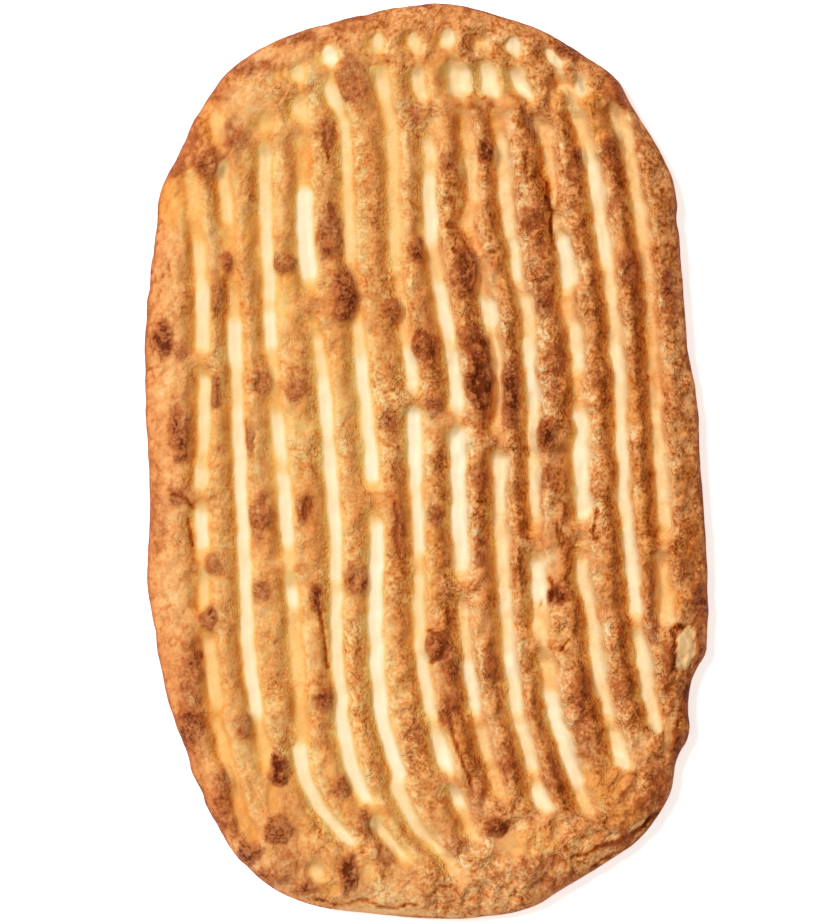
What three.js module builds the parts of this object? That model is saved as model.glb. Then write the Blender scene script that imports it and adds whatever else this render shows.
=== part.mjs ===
// Barbari bread: one long hand-stretched flatbread with finger grooves along its top.
// Millimetres, +Z up, +Y along the loaf towards its head, +X across it.
import * as THREE from "three";
import { ParametricGeometry } from "three/addons/geometries/ParametricGeometry.js";
import { mergeGeometries, mergeVertices } from "three/addons/utils/BufferGeometryUtils.js";

// Overall sizes
const LOAF_LENGTH = 480;
const LOAF_WIDTH = 296;
const RIDGE_TOP = 24;
const GROOVE_DEPTH = 10;

// Edge of the loaf: widest a little above the board, rounded above and tucked in below
const SHOULDER_HEIGHT = 8;
const SHOULDER_ROUND = 17;
const FOOT_INSET = 5;
const RIM_DROP = 3;
const RIM_BAND = 26;

// Cross-section of a groove: its left flank is long and easy, its right flank short and steep
const EASY_FLANK = 10.5;
const STEEP_FLANK = 8;
const GROOVE_END = 14;
const BRIDGE_HALF = 8;
const BRIDGE_FILL = 0.75;

// Slow swelling and sinking of the ridges along their length
const SWELL_HEIGHT = 1.1;
const LONG_SWELL = 61;
const SHORT_SWELL = 37;
const LONG_SWELL_TURN = 0.62;
const SHORT_SWELL_TURN = 0.38;

// How finely the crust is cut into cells
const COLUMNS = 82;
const ROWS = 60;
const EDGE_CELL = 0.4;
const EDGE_EASE = 0.7;
const WALL_STEPS = 2;
const OUTLINE_STEPS = 360;
const OUTLINE_MEASURES = 1440;
const WELD = 1e-3;

const CRUST_COLOUR = 0xd6995d;
const CRUST_ROUGHNESS = 0.85;

// Outline seen from above, clockwise from the head
const OUTLINE = [
  [8, 240], [40, 233], [63, 224.5], [85, 211], [100, 200], [107, 187.5], [113.5, 177], [124.8, 158],
  [130.3, 143], [132.3, 122], [135.2, 85], [137.3, 57], [142, 34], [143.7, 0], [147, -50], [148, -82],
  [146.5, -100], [139.5, -114], [137.5, -129], [137.8, -144], [131, -157], [128.5, -172], [120, -188], [109, -200.5],
  [92.5, -211.5], [75, -222.5], [55, -234], [30, -239], [8, -240], [-25, -237.7], [-58, -233.2], [-78, -225.5],
  [-98, -209], [-110, -191], [-121, -168], [-131, -140], [-138.5, -115], [-143, -88], [-146.5, -62], [-145, -25],
  [-146.5, 8], [-148, 48], [-146.5, 84], [-142.5, 116], [-139.3, 142], [-131, 159], [-120, 182], [-105, 203],
  [-85, 217.5], [-60, 227.5], [-25, 236],
];

// Shares of the way round the outline at which the sides meet the head and the foot
const HEAD_RIGHT = 0.08;
const FOOT_RIGHT = 0.396;
const FOOT_LEFT = 0.576;
const HEAD_LEFT = 0.904;

// Stations along the loaf, foot to head, and where each groove crosses them, left to right
const STATIONS = [-212, -170, -120, -20, 50, 110, 170, 215];
const GROOVES = [
  { across: [-87, -100.5, -112, -118, -118, -119, -127, -132], foot: -208, head: 156, bridges: [52, -18, -55, -84] },
  { across: [-58, -79, -91, -97, -100, -102.5, -109, -113], foot: -172, head: 186, bridges: [160, 106] },
  { across: [-28, -60, -66.5, -74.5, -80.7, -84.5, -85.5, -90], foot: -205, head: 186, bridges: [168, 40, -56] },
  { across: [-5, -34, -45, -49, -55.5, -63.5, -64.5, -68.5], foot: -214, head: 211, bridges: [194, 172, 82, -182] },
  { across: [13, -12, -26, -28, -34.5, -40.5, -43, -51.5], foot: -221, head: 221, bridges: [203, 86, -20] },
  { across: [31, 13.5, -0.5, -5.5, -9, -17, -18.3, -26], foot: -204, head: 227, bridges: [209, 187, 32, -166] },
  { across: [55, 37.5, 23.3, 16, 13.5, 3, -0.5, -7], foot: -183, head: 227, bridges: [209, 184, 21, -66] },
  { across: [70, 57.5, 45.5, 37.5, 36, 25, 21.5, 11], foot: -188, head: 229, bridges: [212, 187, 104, 10] },
  { across: [93, 79, 63.5, 56, 53.7, 44, 38, 30], foot: -190, head: 229, bridges: [211, 187, -43, -96] },
  { across: [121, 106, 92, 79.5, 77.5, 69, 61, 46], foot: -166, head: 224, bridges: [208, 186, 134, -38] },
  { across: [140, 127, 115.3, 102.8, 99.5, 93, 81.5, 64], foot: -145, head: 219, bridges: [204, 188] },
  { across: [155, 143, 132, 123, 118, 113.5, 103, 86], foot: -91, head: 203, bridges: [190, -45] },
];

// Bubbles and scorched knobs that stand up from the ridges
const KNOBS = [
  { x: -42, y: 86, across: 8, along: 16, rise: 2.6 },
  { x: 27.5, y: 42, across: 8, along: 22, rise: 2.4 },
  { x: 20, y: 100, across: 9, along: 15, rise: 3 },
  { x: -3, y: 59, across: 8, along: 10, rise: 2.6 },
  { x: 4, y: -97, across: 9, along: 10, rise: 3.4 },
  { x: -78, y: -160, across: 9, along: 13, rise: 3 },
  { x: 66, y: -70, across: 8, along: 9, rise: 2.4 },
  { x: 37, y: -192, across: 8, along: 8, rise: 2.6 },
  { x: -41, y: -215, across: 8, along: 9, rise: 2.4 },
  { x: 51, y: -214, across: 10, along: 9, rise: 3 },
  { x: -114, y: 156, across: 10, along: 10, rise: 2.2 },
  { x: -40, y: 199, across: 9, along: 12, rise: 2 },
  { x: -123, y: -138, across: 9, along: 11, rise: 2.2 },
];

const clamp01 = (value) => THREE.MathUtils.clamp(value, 0, 1);
const easeStep = (share) => THREE.MathUtils.smoothstep(share, 0, 1);

const outline = new THREE.CatmullRomCurve3(
  OUTLINE.map(([x, y]) => new THREE.Vector3(x, y, 0)),
  true,
);
outline.arcLengthDivisions = OUTLINE_MEASURES;
const rimPoints = outline.getSpacedPoints(OUTLINE_STEPS);
const rimBox = new THREE.Box3().setFromPoints(rimPoints);
const rimSize = rimBox.getSize(new THREE.Vector3());
const rimMiddle = rimBox.getCenter(new THREE.Vector3());

// A point of the outline, with the rim brought to the loaf's stated length and width
function outlinePoint(share) {
  const point = outline.getPointAt(share - Math.floor(share)).sub(rimMiddle);
  point.x *= LOAF_WIDTH / rimSize.x;
  point.y *= LOAF_LENGTH / rimSize.y;
  return point;
}

const rim = rimPoints.map((_, step) => outlinePoint(step / OUTLINE_STEPS));

// Distance from a place on the loaf to the nearest stretch of the rim
const probe = new THREE.Line3();
const nearest = new THREE.Vector3();
function insetAt(place) {
  let least = Infinity;
  for (let step = 0; step < OUTLINE_STEPS; step += 1) {
    probe.set(rim[step], rim[step + 1]);
    probe.closestPointToPoint(place, true, nearest);
    least = Math.min(least, nearest.distanceTo(place));
  }
  return least;
}

// The four sides of the outline, each run from left to right or from foot to head
const alongSide = (from, to) => (share) => outlinePoint(THREE.MathUtils.lerp(from, to, share));
const footSide = alongSide(FOOT_LEFT, FOOT_RIGHT);
const headSide = alongSide(HEAD_LEFT, 1 + HEAD_RIGHT);
const leftSide = alongSide(FOOT_LEFT, HEAD_LEFT);
const rightSide = alongSide(FOOT_RIGHT, HEAD_RIGHT);

// Place on the loaf seen from above, for shares across and along it, stretched between the four sides
function placeAt(across, along) {
  const place = new THREE.Vector3();
  place.addScaledVector(footSide(across), 1 - along);
  place.addScaledVector(headSide(across), along);
  place.addScaledVector(leftSide(along), 1 - across);
  place.addScaledVector(rightSide(along), across);
  place.addScaledVector(leftSide(0), -(1 - across) * (1 - along));
  place.addScaledVector(rightSide(0), -across * (1 - along));
  place.addScaledVector(leftSide(1), -(1 - across) * along);
  place.addScaledVector(rightSide(1), -across * along);
  return place;
}

// Evenly spaced shares, but with a narrow first and last cell so that the rounded edge is smooth
function cellShare(index, count) {
  const fromEnd = Math.min(index, count - index);
  const pull = (1 - EDGE_CELL) * Math.exp(-(fromEnd - 1) * EDGE_EASE);
  if (fromEnd === 0) {
    return index / count;
  }
  return (index < count / 2 ? fromEnd - pull : count - fromEnd + pull) / count;
}

const stationTable = STATIONS.flatMap((_, station) => GROOVES.map((groove) => groove.across[station]));
const grooveLines = new THREE.CubicInterpolant(STATIONS, stationTable, GROOVES.length);

// How hard a groove was pressed at a distance along the loaf: fading at both ends, nearly closed at a bridge
function pressAlong(groove, y) {
  let press = easeStep((y - groove.foot) / GROOVE_END) * easeStep((groove.head - y) / GROOVE_END);
  for (const bridge of groove.bridges) {
    press *= 1 - BRIDGE_FILL * easeStep(1 - Math.abs(y - bridge) / BRIDGE_HALF);
  }
  return press;
}

// Share of the full groove depth at a place, and that place's position counted in grooves from the left
function groovesAt(x, y) {
  const lines = grooveLines.evaluate(y);
  let press = 0;
  let count = 0;
  GROOVES.forEach((groove, index) => {
    const offset = x - lines[index];
    const flank = offset < 0 ? EASY_FLANK : STEEP_FLANK;
    press = Math.max(press, easeStep(1 - Math.abs(offset) / flank) * pressAlong(groove, y));
    const pitch = index > 0 ? lines[index] - lines[index - 1] : EASY_FLANK + STEEP_FLANK;
    count += clamp01(1 + offset / pitch);
  });
  return { press, count };
}

function knobRise({ x, y }) {
  let rise = 0;
  for (const knob of KNOBS) {
    const reach = Math.hypot((x - knob.x) / knob.across, (y - knob.y) / knob.along);
    rise = Math.max(rise, knob.rise * easeStep(1 - reach));
  }
  return rise;
}

// Height of the crust above the board
function crustHeight(place) {
  const inset = insetAt(place);
  const { press, count } = groovesAt(place.x, place.y);
  const longSwell = Math.sin(2 * Math.PI * (place.y / LONG_SWELL + LONG_SWELL_TURN * count));
  const shortSwell = Math.sin(2 * Math.PI * (place.y / SHORT_SWELL - SHORT_SWELL_TURN * count));
  const ridge = RIDGE_TOP + SWELL_HEIGHT * longSwell * shortSwell + knobRise(place);
  const rimSlope = RIM_DROP * easeStep(1 - inset / RIM_BAND);
  const top = ridge - rimSlope - GROOVE_DEPTH * press;
  const round = 1 - clamp01(inset / SHOULDER_ROUND);
  return SHOULDER_HEIGHT + (top - SHOULDER_HEIGHT) * Math.sqrt(1 - round * round);
}

// Top crust: every cell corner lifted to the crust's height, its border left at the shoulder
function crustPoint(across, along, target) {
  const column = Math.round(across * COLUMNS);
  const row = Math.round(along * ROWS);
  const place = placeAt(cellShare(column, COLUMNS), cellShare(row, ROWS));
  const onBorder = column % COLUMNS === 0 || row % ROWS === 0;
  place.z = onBorder ? SHOULDER_HEIGHT : crustHeight(place);
  target.copy(place);
}

// Border of the top crust, corner by corner, anticlockwise seen from above
const border = [];
for (let column = 0; column < COLUMNS; column += 1) {
  border.push(placeAt(cellShare(column, COLUMNS), 0));
}
for (let row = 0; row < ROWS; row += 1) {
  border.push(placeAt(1, cellShare(row, ROWS)));
}
for (let column = COLUMNS; column > 0; column -= 1) {
  border.push(placeAt(cellShare(column, COLUMNS), 1));
}
for (let row = ROWS; row > 0; row -= 1) {
  border.push(placeAt(0, cellShare(row, ROWS)));
}

// The border brought in square to itself
function insetBorder(index, inset) {
  const before = border[(index + border.length - 1) % border.length];
  const after = border[(index + 1) % border.length];
  const run = after.clone().sub(before).normalize();
  return new THREE.Vector3(-run.y, run.x, 0).multiplyScalar(inset).add(border[index]);
}

// Side wall: a quarter round from the foot of the loaf out to its shoulder
function wallPoint(around, up, target) {
  const index = Math.round(around * border.length) % border.length;
  const turn = (up * Math.PI) / 2;
  target.copy(insetBorder(index, FOOT_INSET * (1 - Math.sin(turn))));
  target.z = SHOULDER_HEIGHT * (1 - Math.cos(turn));
}

// Flat underside, drawn mirrored and then turned over to face down
function undersideGeometry() {
  const foot = border.map((_, index) => insetBorder(index, FOOT_INSET));
  const shape = new THREE.Shape(foot.map((point) => new THREE.Vector2(point.x, -point.y)));
  return new THREE.ShapeGeometry(shape).rotateX(Math.PI);
}

// Every cell split in two along its shorter diagonal, so that the split follows the ridges
function splitShort(sheet) {
  const points = sheet.getAttribute("position");
  const corner = (index) => new THREE.Vector3().fromBufferAttribute(points, index);
  const faces = [];
  for (let row = 0; row < ROWS; row += 1) {
    for (let column = 0; column < COLUMNS; column += 1) {
      const a = row * (COLUMNS + 1) + column;
      const [b, c, d] = [a + 1, a + COLUMNS + 2, a + COLUMNS + 1];
      const risingIsShort = corner(a).distanceTo(corner(c)) < corner(b).distanceTo(corner(d));
      faces.push(...(risingIsShort ? [a, b, c, a, c, d] : [a, b, d, b, c, d]));
    }
  }
  sheet.setIndex(faces);
  return sheet;
}

function loafGeometry() {
  const shells = [
    splitShort(new ParametricGeometry(crustPoint, COLUMNS, ROWS)),
    new ParametricGeometry(wallPoint, border.length, WALL_STEPS),
    undersideGeometry(),
  ];
  for (const shell of shells) {
    shell.deleteAttribute("normal");
    shell.deleteAttribute("uv");
  }
  const loaf = mergeVertices(mergeGeometries(shells), WELD);
  loaf.computeVertexNormals();
  return loaf;
}

const crust = new THREE.MeshStandardMaterial({ color: CRUST_COLOUR, roughness: CRUST_ROUGHNESS });
const loafMesh = new THREE.Mesh(loafGeometry(), crust);
loafMesh.name = "loaf";

const bread = new THREE.Group();
bread.name = "barbari_bread";
bread.add(loafMesh);

export default bread;
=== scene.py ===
"""Barbari bread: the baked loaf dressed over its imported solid, on a pale floor under soft studio light."""

import functools
import logging
import math
from collections.abc import Iterable
from dataclasses import dataclass, field
from enum import Enum, IntEnum

import bpy
import numpy as np
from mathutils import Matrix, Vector
from mathutils.kdtree import KDTree

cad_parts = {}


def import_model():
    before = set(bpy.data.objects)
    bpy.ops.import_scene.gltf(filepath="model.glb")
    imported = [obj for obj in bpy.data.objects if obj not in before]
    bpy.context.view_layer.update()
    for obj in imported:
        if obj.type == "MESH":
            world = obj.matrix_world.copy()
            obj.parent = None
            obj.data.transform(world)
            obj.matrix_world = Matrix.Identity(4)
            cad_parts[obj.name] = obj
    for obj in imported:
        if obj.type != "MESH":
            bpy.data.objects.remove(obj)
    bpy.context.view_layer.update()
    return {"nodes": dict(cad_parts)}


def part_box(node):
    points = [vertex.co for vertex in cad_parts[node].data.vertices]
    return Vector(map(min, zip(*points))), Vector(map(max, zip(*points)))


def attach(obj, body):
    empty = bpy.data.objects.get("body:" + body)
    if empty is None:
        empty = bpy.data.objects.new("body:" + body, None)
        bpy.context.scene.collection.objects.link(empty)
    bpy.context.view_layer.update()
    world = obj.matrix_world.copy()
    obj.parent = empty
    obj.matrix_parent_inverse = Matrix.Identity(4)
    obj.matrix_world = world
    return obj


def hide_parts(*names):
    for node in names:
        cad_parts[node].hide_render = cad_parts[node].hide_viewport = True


LOG = logging.getLogger("barbari")
NODE = "loaf"
BAKE_MAP = "OFBake"
Array = np.ndarray
Point = tuple[float, float]
Span = tuple[float, float]
Shade = tuple[int, int, int]
Socket = bpy.types.NodeSocket
Inputs = dict[str | int, object]

# Length that the tables below were read at, in millimetres
NOMINAL_LENGTH = 480.0

# Stations along the loaf, foot to head, at which the grooves' lines are given
STATIONS = (-212.0, -170.0, -120.0, -20.0, 50.0, 110.0, 170.0, 215.0)

# Numbers that scramble the corners of a noise lattice, and the gain that takes the noise to about 1
HASH_ACROSS, HASH_ALONG, HASH_SEED, HASH_MIX = 374761393, 668265263, 974634777, 1274126177
HASH_MASK = 0xFFFFFFFF
HASH_SHIFT, HASH_LAST_SHIFT = 13, 16
NOISE_GAIN = 1.5

# Middle of a shader's noise, which runs from 0 to 1
NOISE_MIDDLE = 0.5


class Side(Enum):
    """Sides of a sheet."""

    FOOT = "foot"
    RIGHT = "right"
    HEAD = "head"
    LEFT = "left"


class Slot(IntEnum):
    """Material slots of the loaf's mesh."""

    CRUST = 0
    UNDERSIDE = 1


class Layer(Enum):
    """Names of the values that the mesh carries for its finishes."""

    BAKE = "bake"
    CHAR = "char"
    GRAIN = "grain"
    # Golden tint: the crust's own gold in places, and painted shade on the ridges' flanks that face away from
    # the light
    AMBER = "amber"


@dataclass(frozen=True)
class Places:
    """Places on the loaf in millimetres: across it, along it, and in from its outline."""

    x: Array
    y: Array
    inset: Array


@dataclass(frozen=True)
class Ripple:
    """One size of noise.

    Its fields are its strength, the size of its lumps, which pattern it takes, and the share of the way along
    the loaf that it sees: under 1, its lumps are drawn out along the loaf.
    """

    strength: float
    cell: float
    salt: int
    lengthwise: float = 1.0

    def over(self, x: Array, y: Array) -> Array:
        """The noise at each place."""
        return self.strength * lattice_noise(x, y * self.lengthwise, self.cell, self.salt)


@dataclass(frozen=True)
class Fade:
    """How a mark fades outward, in its half sizes: where it is gone, and the span over which it goes."""

    gone: float
    span: float

    def share(self, reach: Array) -> Array:
        """How much of the mark is left at each reach from its middle."""
        return ease((self.gone - reach) / self.span)


@dataclass(frozen=True)
class Band:
    """One band of tone beside an edge: how much it adds, its half width and how far off its middle lies."""

    amount: float
    half: float
    middle: float = 0.0

    def over(self, gap: Array) -> Array:
        """What the band adds at each gap from the edge."""
        return self.amount * near(np.abs(gap - self.middle), self.half)


@dataclass(frozen=True)
class Pool:
    """One pale stretch of a groove's floor, where a fingertip pressed.

    Its fields are where it starts and stops along the loaf, how pale it is, its half width and how far it
    lies off the groove's line.
    """

    low: float
    high: float
    pale: float
    half: float
    off: float = 0.0


@dataclass(frozen=True)
class Groove:
    """One finger groove along the loaf.

    Its fields are where it crosses each station, where it starts and stops, the places where the dough closed
    over it, and its pale stretches.
    """

    across: tuple[float, ...]
    foot: float
    head: float
    bridges: tuple[float, ...]
    pools: tuple[Pool, ...]


@dataclass(frozen=True)
class Mark:
    """One oval mark on the crust: its place and its half sizes across and along."""

    x: float
    y: float
    across: float
    along: float

    def reach(self, at: Places) -> Array:
        """How far places lie from the mark's middle, in its half sizes."""
        return np.hypot((at.x - self.x) / self.across, (at.y - self.y) / self.along)


@dataclass(frozen=True)
class Dimple(Mark):
    """One finger press beside the grooves, with its depth and how pale it is."""

    depth: float
    pale: float


@dataclass(frozen=True)
class Scorch(Mark):
    """One scorched spot, with how dark it is and how far it stands up."""

    dark: float
    rise: float = 0.5


@dataclass(frozen=True)
class Flake(Mark):
    """One place where the crust came off and shows crumb, with its turn in degrees and how pale it is."""

    turn: float
    pale: float

    def reach(self, at: Places) -> Array:
        """How far places lie from the flake's middle, in its turned half sizes.

        Args:
            at: The places.

        Returns:
            The reach of each place, 1 at the flake's edge.
        """
        turn = math.radians(self.turn)
        side = (at.x - self.x) * math.cos(turn) + (at.y - self.y) * math.sin(turn)
        lengthwise = (at.y - self.y) * math.cos(turn) - (at.x - self.x) * math.sin(turn)
        return np.hypot(side / self.across, lengthwise / self.along)


@dataclass(frozen=True)
class Glow(Mark):
    """One lightly baked golden zone, with how golden it is; those along the right rim are partly painted
    light.
    """

    gold: float


@dataclass(frozen=True)
class Crack:
    """One crack in the crust: the points it runs through, its half width, its depth and how dark it is."""

    points: tuple[Point, ...]
    half: float
    depth: float
    dark: float


# Marks on the loaf in millimetres; each row gives its kind's fields in order
GROOVES = tuple(Groove(*row, tuple(Pool(*pool) for pool in pools)) for *row, pools in (
    ((-87, -100.5, -112, -118, -118, -119, -127, -132), -208, 156, (52, -18, -55, -84), (
        (130, 156, 0.6, 2.2), (92, 116, 0.8, 1.9), (55, 92, 0.9, 2.4, 1), (2, 45, 0.85, 2, 1.5),
        (-16, 0, 0.85, 2.6), (-48, -24, 0.95, 2.3), (-77, -52, 0.7, 1.4), (-128, -92, 0.7, 2.2, 1),
        (-160, -132, 0.5, 1.5), (-200, -172, 0.3, 1.6),
    )),
    ((-58, -79, -91, -97, -100, -102.5, -109, -113), -172, 186, (160, 106), (
        (168, 184, 0.6, 2.4), (122, 160, 0.75, 2), (76, 90, 0.6, 1.5), (50, 75, 0.95, 2.6),
        (26, 50, 0.8, 1.6), (-40, 26, 0.95, 2.1), (-134, -40, 0.95, 2.3), (-162, -134, 0.6, 1.5),
    )),
    ((-28, -60, -66.5, -74.5, -80.7, -84.5, -85.5, -90), -205, 186, (168, 40, -56), (
        (188, 200, 0.45, 2), (172, 182, 0.5, 2.8, 2), (126, 166, 0.8, 2.2), (82, 126, 0.9, 2, 1),
        (56, 80, 0.95, 2.2), (36, 54, 0.7, 1.3), (-2, 27, 0.9, 2.2), (-46, -4, 0.95, 2.5),
        (-62, -48, 0.7, 2.4), (-78, -63, 0.95, 2.4), (-116, -80, 0.6, 2.4), (-144, -116, 0.5, 1.6),
        (-203, -146, 0.9, 2.8, -2), (-221, -208, 0.7, 2.4, -2),
    )),
    ((-5, -34, -45, -49, -55.5, -63.5, -64.5, -68.5), -214, 211, (194, 172, 82, -182), (
        (197, 210, 0.75, 2.6), (177, 190, 0.75, 3, -1.5), (145, 174, 0.3, 1.6), (92, 143, 1, 3.4),
        (44, 66, 0.8, 1.8), (-2, 44, 0.95, 2.5), (-64, -2, 0.95, 2.4), (-125, -66, 0.9, 2.2),
        (-180, -125, 0.95, 2.8, -1.5), (-206, -186, 0.8, 2.4, -5), (-217, -206, 0.5, 2.4, -3),
    )),
    ((13, -12, -26, -28, -34.5, -40.5, -43, -51.5), -221, 221, (203, 86, -20), (
        (203, 220, 1, 3), (182, 198, 0.85, 3, -3), (102, 181, 0.75, 1.9), (76, 100, 0.35, 1.2, 1.5),
        (56, 74, 0.8, 2), (4, 56, 0.95, 2.3), (-13, 4, 1, 2.8), (-125, -30, 1, 2.7, 1),
        (-166, -125, 1, 2.8), (-200, -166, 0.85, 2.8, -4.5), (-219, -200, 0.6, 2.2),
    )),
    ((31, 13.5, -0.5, -5.5, -9, -17, -18.3, -26), -204, 227, (209, 32, -166), (
        (213, 227, 0.85, 2.4), (188, 204, 0.8, 2.6, -1), (106, 188, 0.65, 1.8), (62, 106, 0.5, 1.7),
        (35, 61, 0.95, 2.2), (-10, 29, 1, 2.7), (-50, -10, 0.95, 1.8), (-96, -56, 0.8, 1.9),
        (-136, -96, 0.9, 2.3), (-163, -140, 1, 2.9), (-183, -169, 0.9, 2.8), (-204, -189, 0.5, 1.8),
    )),
    ((55, 37.5, 23.3, 16, 13.5, 3, -0.5, -7), -183, 227, (209, 184, 21, -66), (
        (212, 227, 0.75, 1.8), (187, 206, 0.8, 2.4), (155, 167, 0.8, 2.6, 1), (112, 151, 0.95, 2.5),
        (96, 112, 0.6, 2.2), (62, 95, 0.95, 2.5), (24, 60, 0.95, 2.6), (-59, 18, 1, 2.9),
        (-102, -74, 0.75, 1.7), (-133, -103, 0.95, 2.1), (-157, -138, 0.65, 2.2), (-178, -160, 0.5, 2.3),
    )),
    ((70, 57.5, 45.5, 37.5, 36, 25, 21.5, 11), -188, 229, (212, 187, 104, 10), (
        (215, 228, 0.95, 2.6, -1), (190, 207, 0.85, 5, 1), (164, 174, 0.6, 2.4), (134, 160, 0.7, 2.2),
        (119, 131, 0.5, 2.8, -3), (69, 86, 0.95, 3, 1), (46, 66, 0.7, 1.5), (17, 44, 0.55, 1),
        (-16, 5, 0.95, 2.6, 1), (-58, -16, 0.85, 2.1), (-100, -58, 0.85, 1.9), (-133, -100, 0.95, 2.3),
        (-163, -135, 0.9, 2.4), (-184, -168, 0.95, 3), (-202, -189, 0.3, 2),
    )),
    ((93, 79, 63.5, 56, 53.7, 44, 38, 30), -190, 229, (211, 187, -43, -96), (
        (212, 222, 0.6, 2), (188, 208, 0.95, 2.8, -1), (152, 170, 0.8, 2.4), (119, 150, 0.8, 2.5),
        (92, 118, 0.9, 1.9, 1), (64, 88, 0.8, 2.8, 3), (28, 64, 0.95, 1.9), (-31, 28, 0.85, 1.4),
        (-76, -49, 1, 3), (-96, -77, 0.7, 2.5), (-120, -96, 0.6, 3.2, 1), (-146, -120, 1, 3),
        (-173, -146, 0.95, 2.4), (-190, -173, 0.6, 2.6),
    )),
    ((121, 106, 92, 79.5, 77.5, 69, 61, 46), -166, 224, (208, 186, 134, -38), (
        (210, 224, 0.9, 3, -2), (187, 206, 0.9, 2.8, -4), (168, 179, 0.6, 3.5), (147, 166, 0.6, 1.6),
        (90, 119, 0.95, 3.2, 2.5), (74, 90, 0.5, 2), (45, 73, 0.9, 2.4, 1.5), (-31, 27, 0.95, 2.6, 1.5),
        (-73, -49, 0.85, 2.3, -2), (-96, -73, 0.8, 2), (-135, -96, 0.85, 2.4), (-166, -140, 0.9, 2.6),
    )),
    ((140, 127, 115.3, 102.8, 99.5, 93, 81.5, 64), -145, 219, (204, 188), (
        (203, 221, 0.9, 3), (182, 200, 0.6, 2.2), (160, 182, 0.7, 2.2), (104, 160, 0.9, 2.3),
        (60, 104, 0.8, 1.7), (20, 60, 0.9, 1.8), (-48, 20, 0.95, 2), (-81, -48, 0.95, 2.2),
        (-126, -89, 0.9, 2.4), (-144, -126, 0.85, 2.3),
    )),
    ((155, 143, 132, 123, 118, 113.5, 103, 86), -91, 203, (190, -45), (
        (172, 185, 0.7, 3.4), (150, 172, 0.7, 2.5), (115, 150, 0.75, 1.9), (78, 115, 0.6, 1.6),
        (40, 78, 0.5, 1.4), (2, 40, 0.7, 2), (-36, 2, 0.8, 2.1), (-88, -44, 0.6, 2.8, -3),
    )),
))

DIMPLES = tuple(Dimple(*row) for row in (
    (80.5, 195, 4, 7, 4, 0.9), (-133, 137, 6, 13, 1.5, 0.4), (66, 191, 2.6, 9, 2.5, 0.4),
    (-57, -215, 5, 6, 2.5, 0.75), (-51, -223, 6, 3, 1.5, 0.4), (44, -200, 7, 7, 1.5, 0.4),
    (68, -192, 3, 6, 2, 0.35), (126, -143, 2.6, 9, 2, 0.5), (25, 217, 2.2, 4, 1.5, 0.6),
    (-77, 201, 3, 4, 1.2, 0.3), (-91, 120, 4, 12, 1.2, 0.2), (5, 172, 4, 7, 1.5, 0.3),
    (-30, -213, 4, 5, 1.5, 0.55), (-12, -205, 4.5, 6, 1.5, 0.6), (-97, -185, 3, 8, 1.2, 0.3),
    (19, -217, 3.5, 4, 1.2, 0.5), (-80, -174, 3, 8, 1.2, 0.3), (91, 177, 4, 9, 0.8, 0.2),
    (84, -174, 5, 9, 1, 0.3),
))

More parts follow.
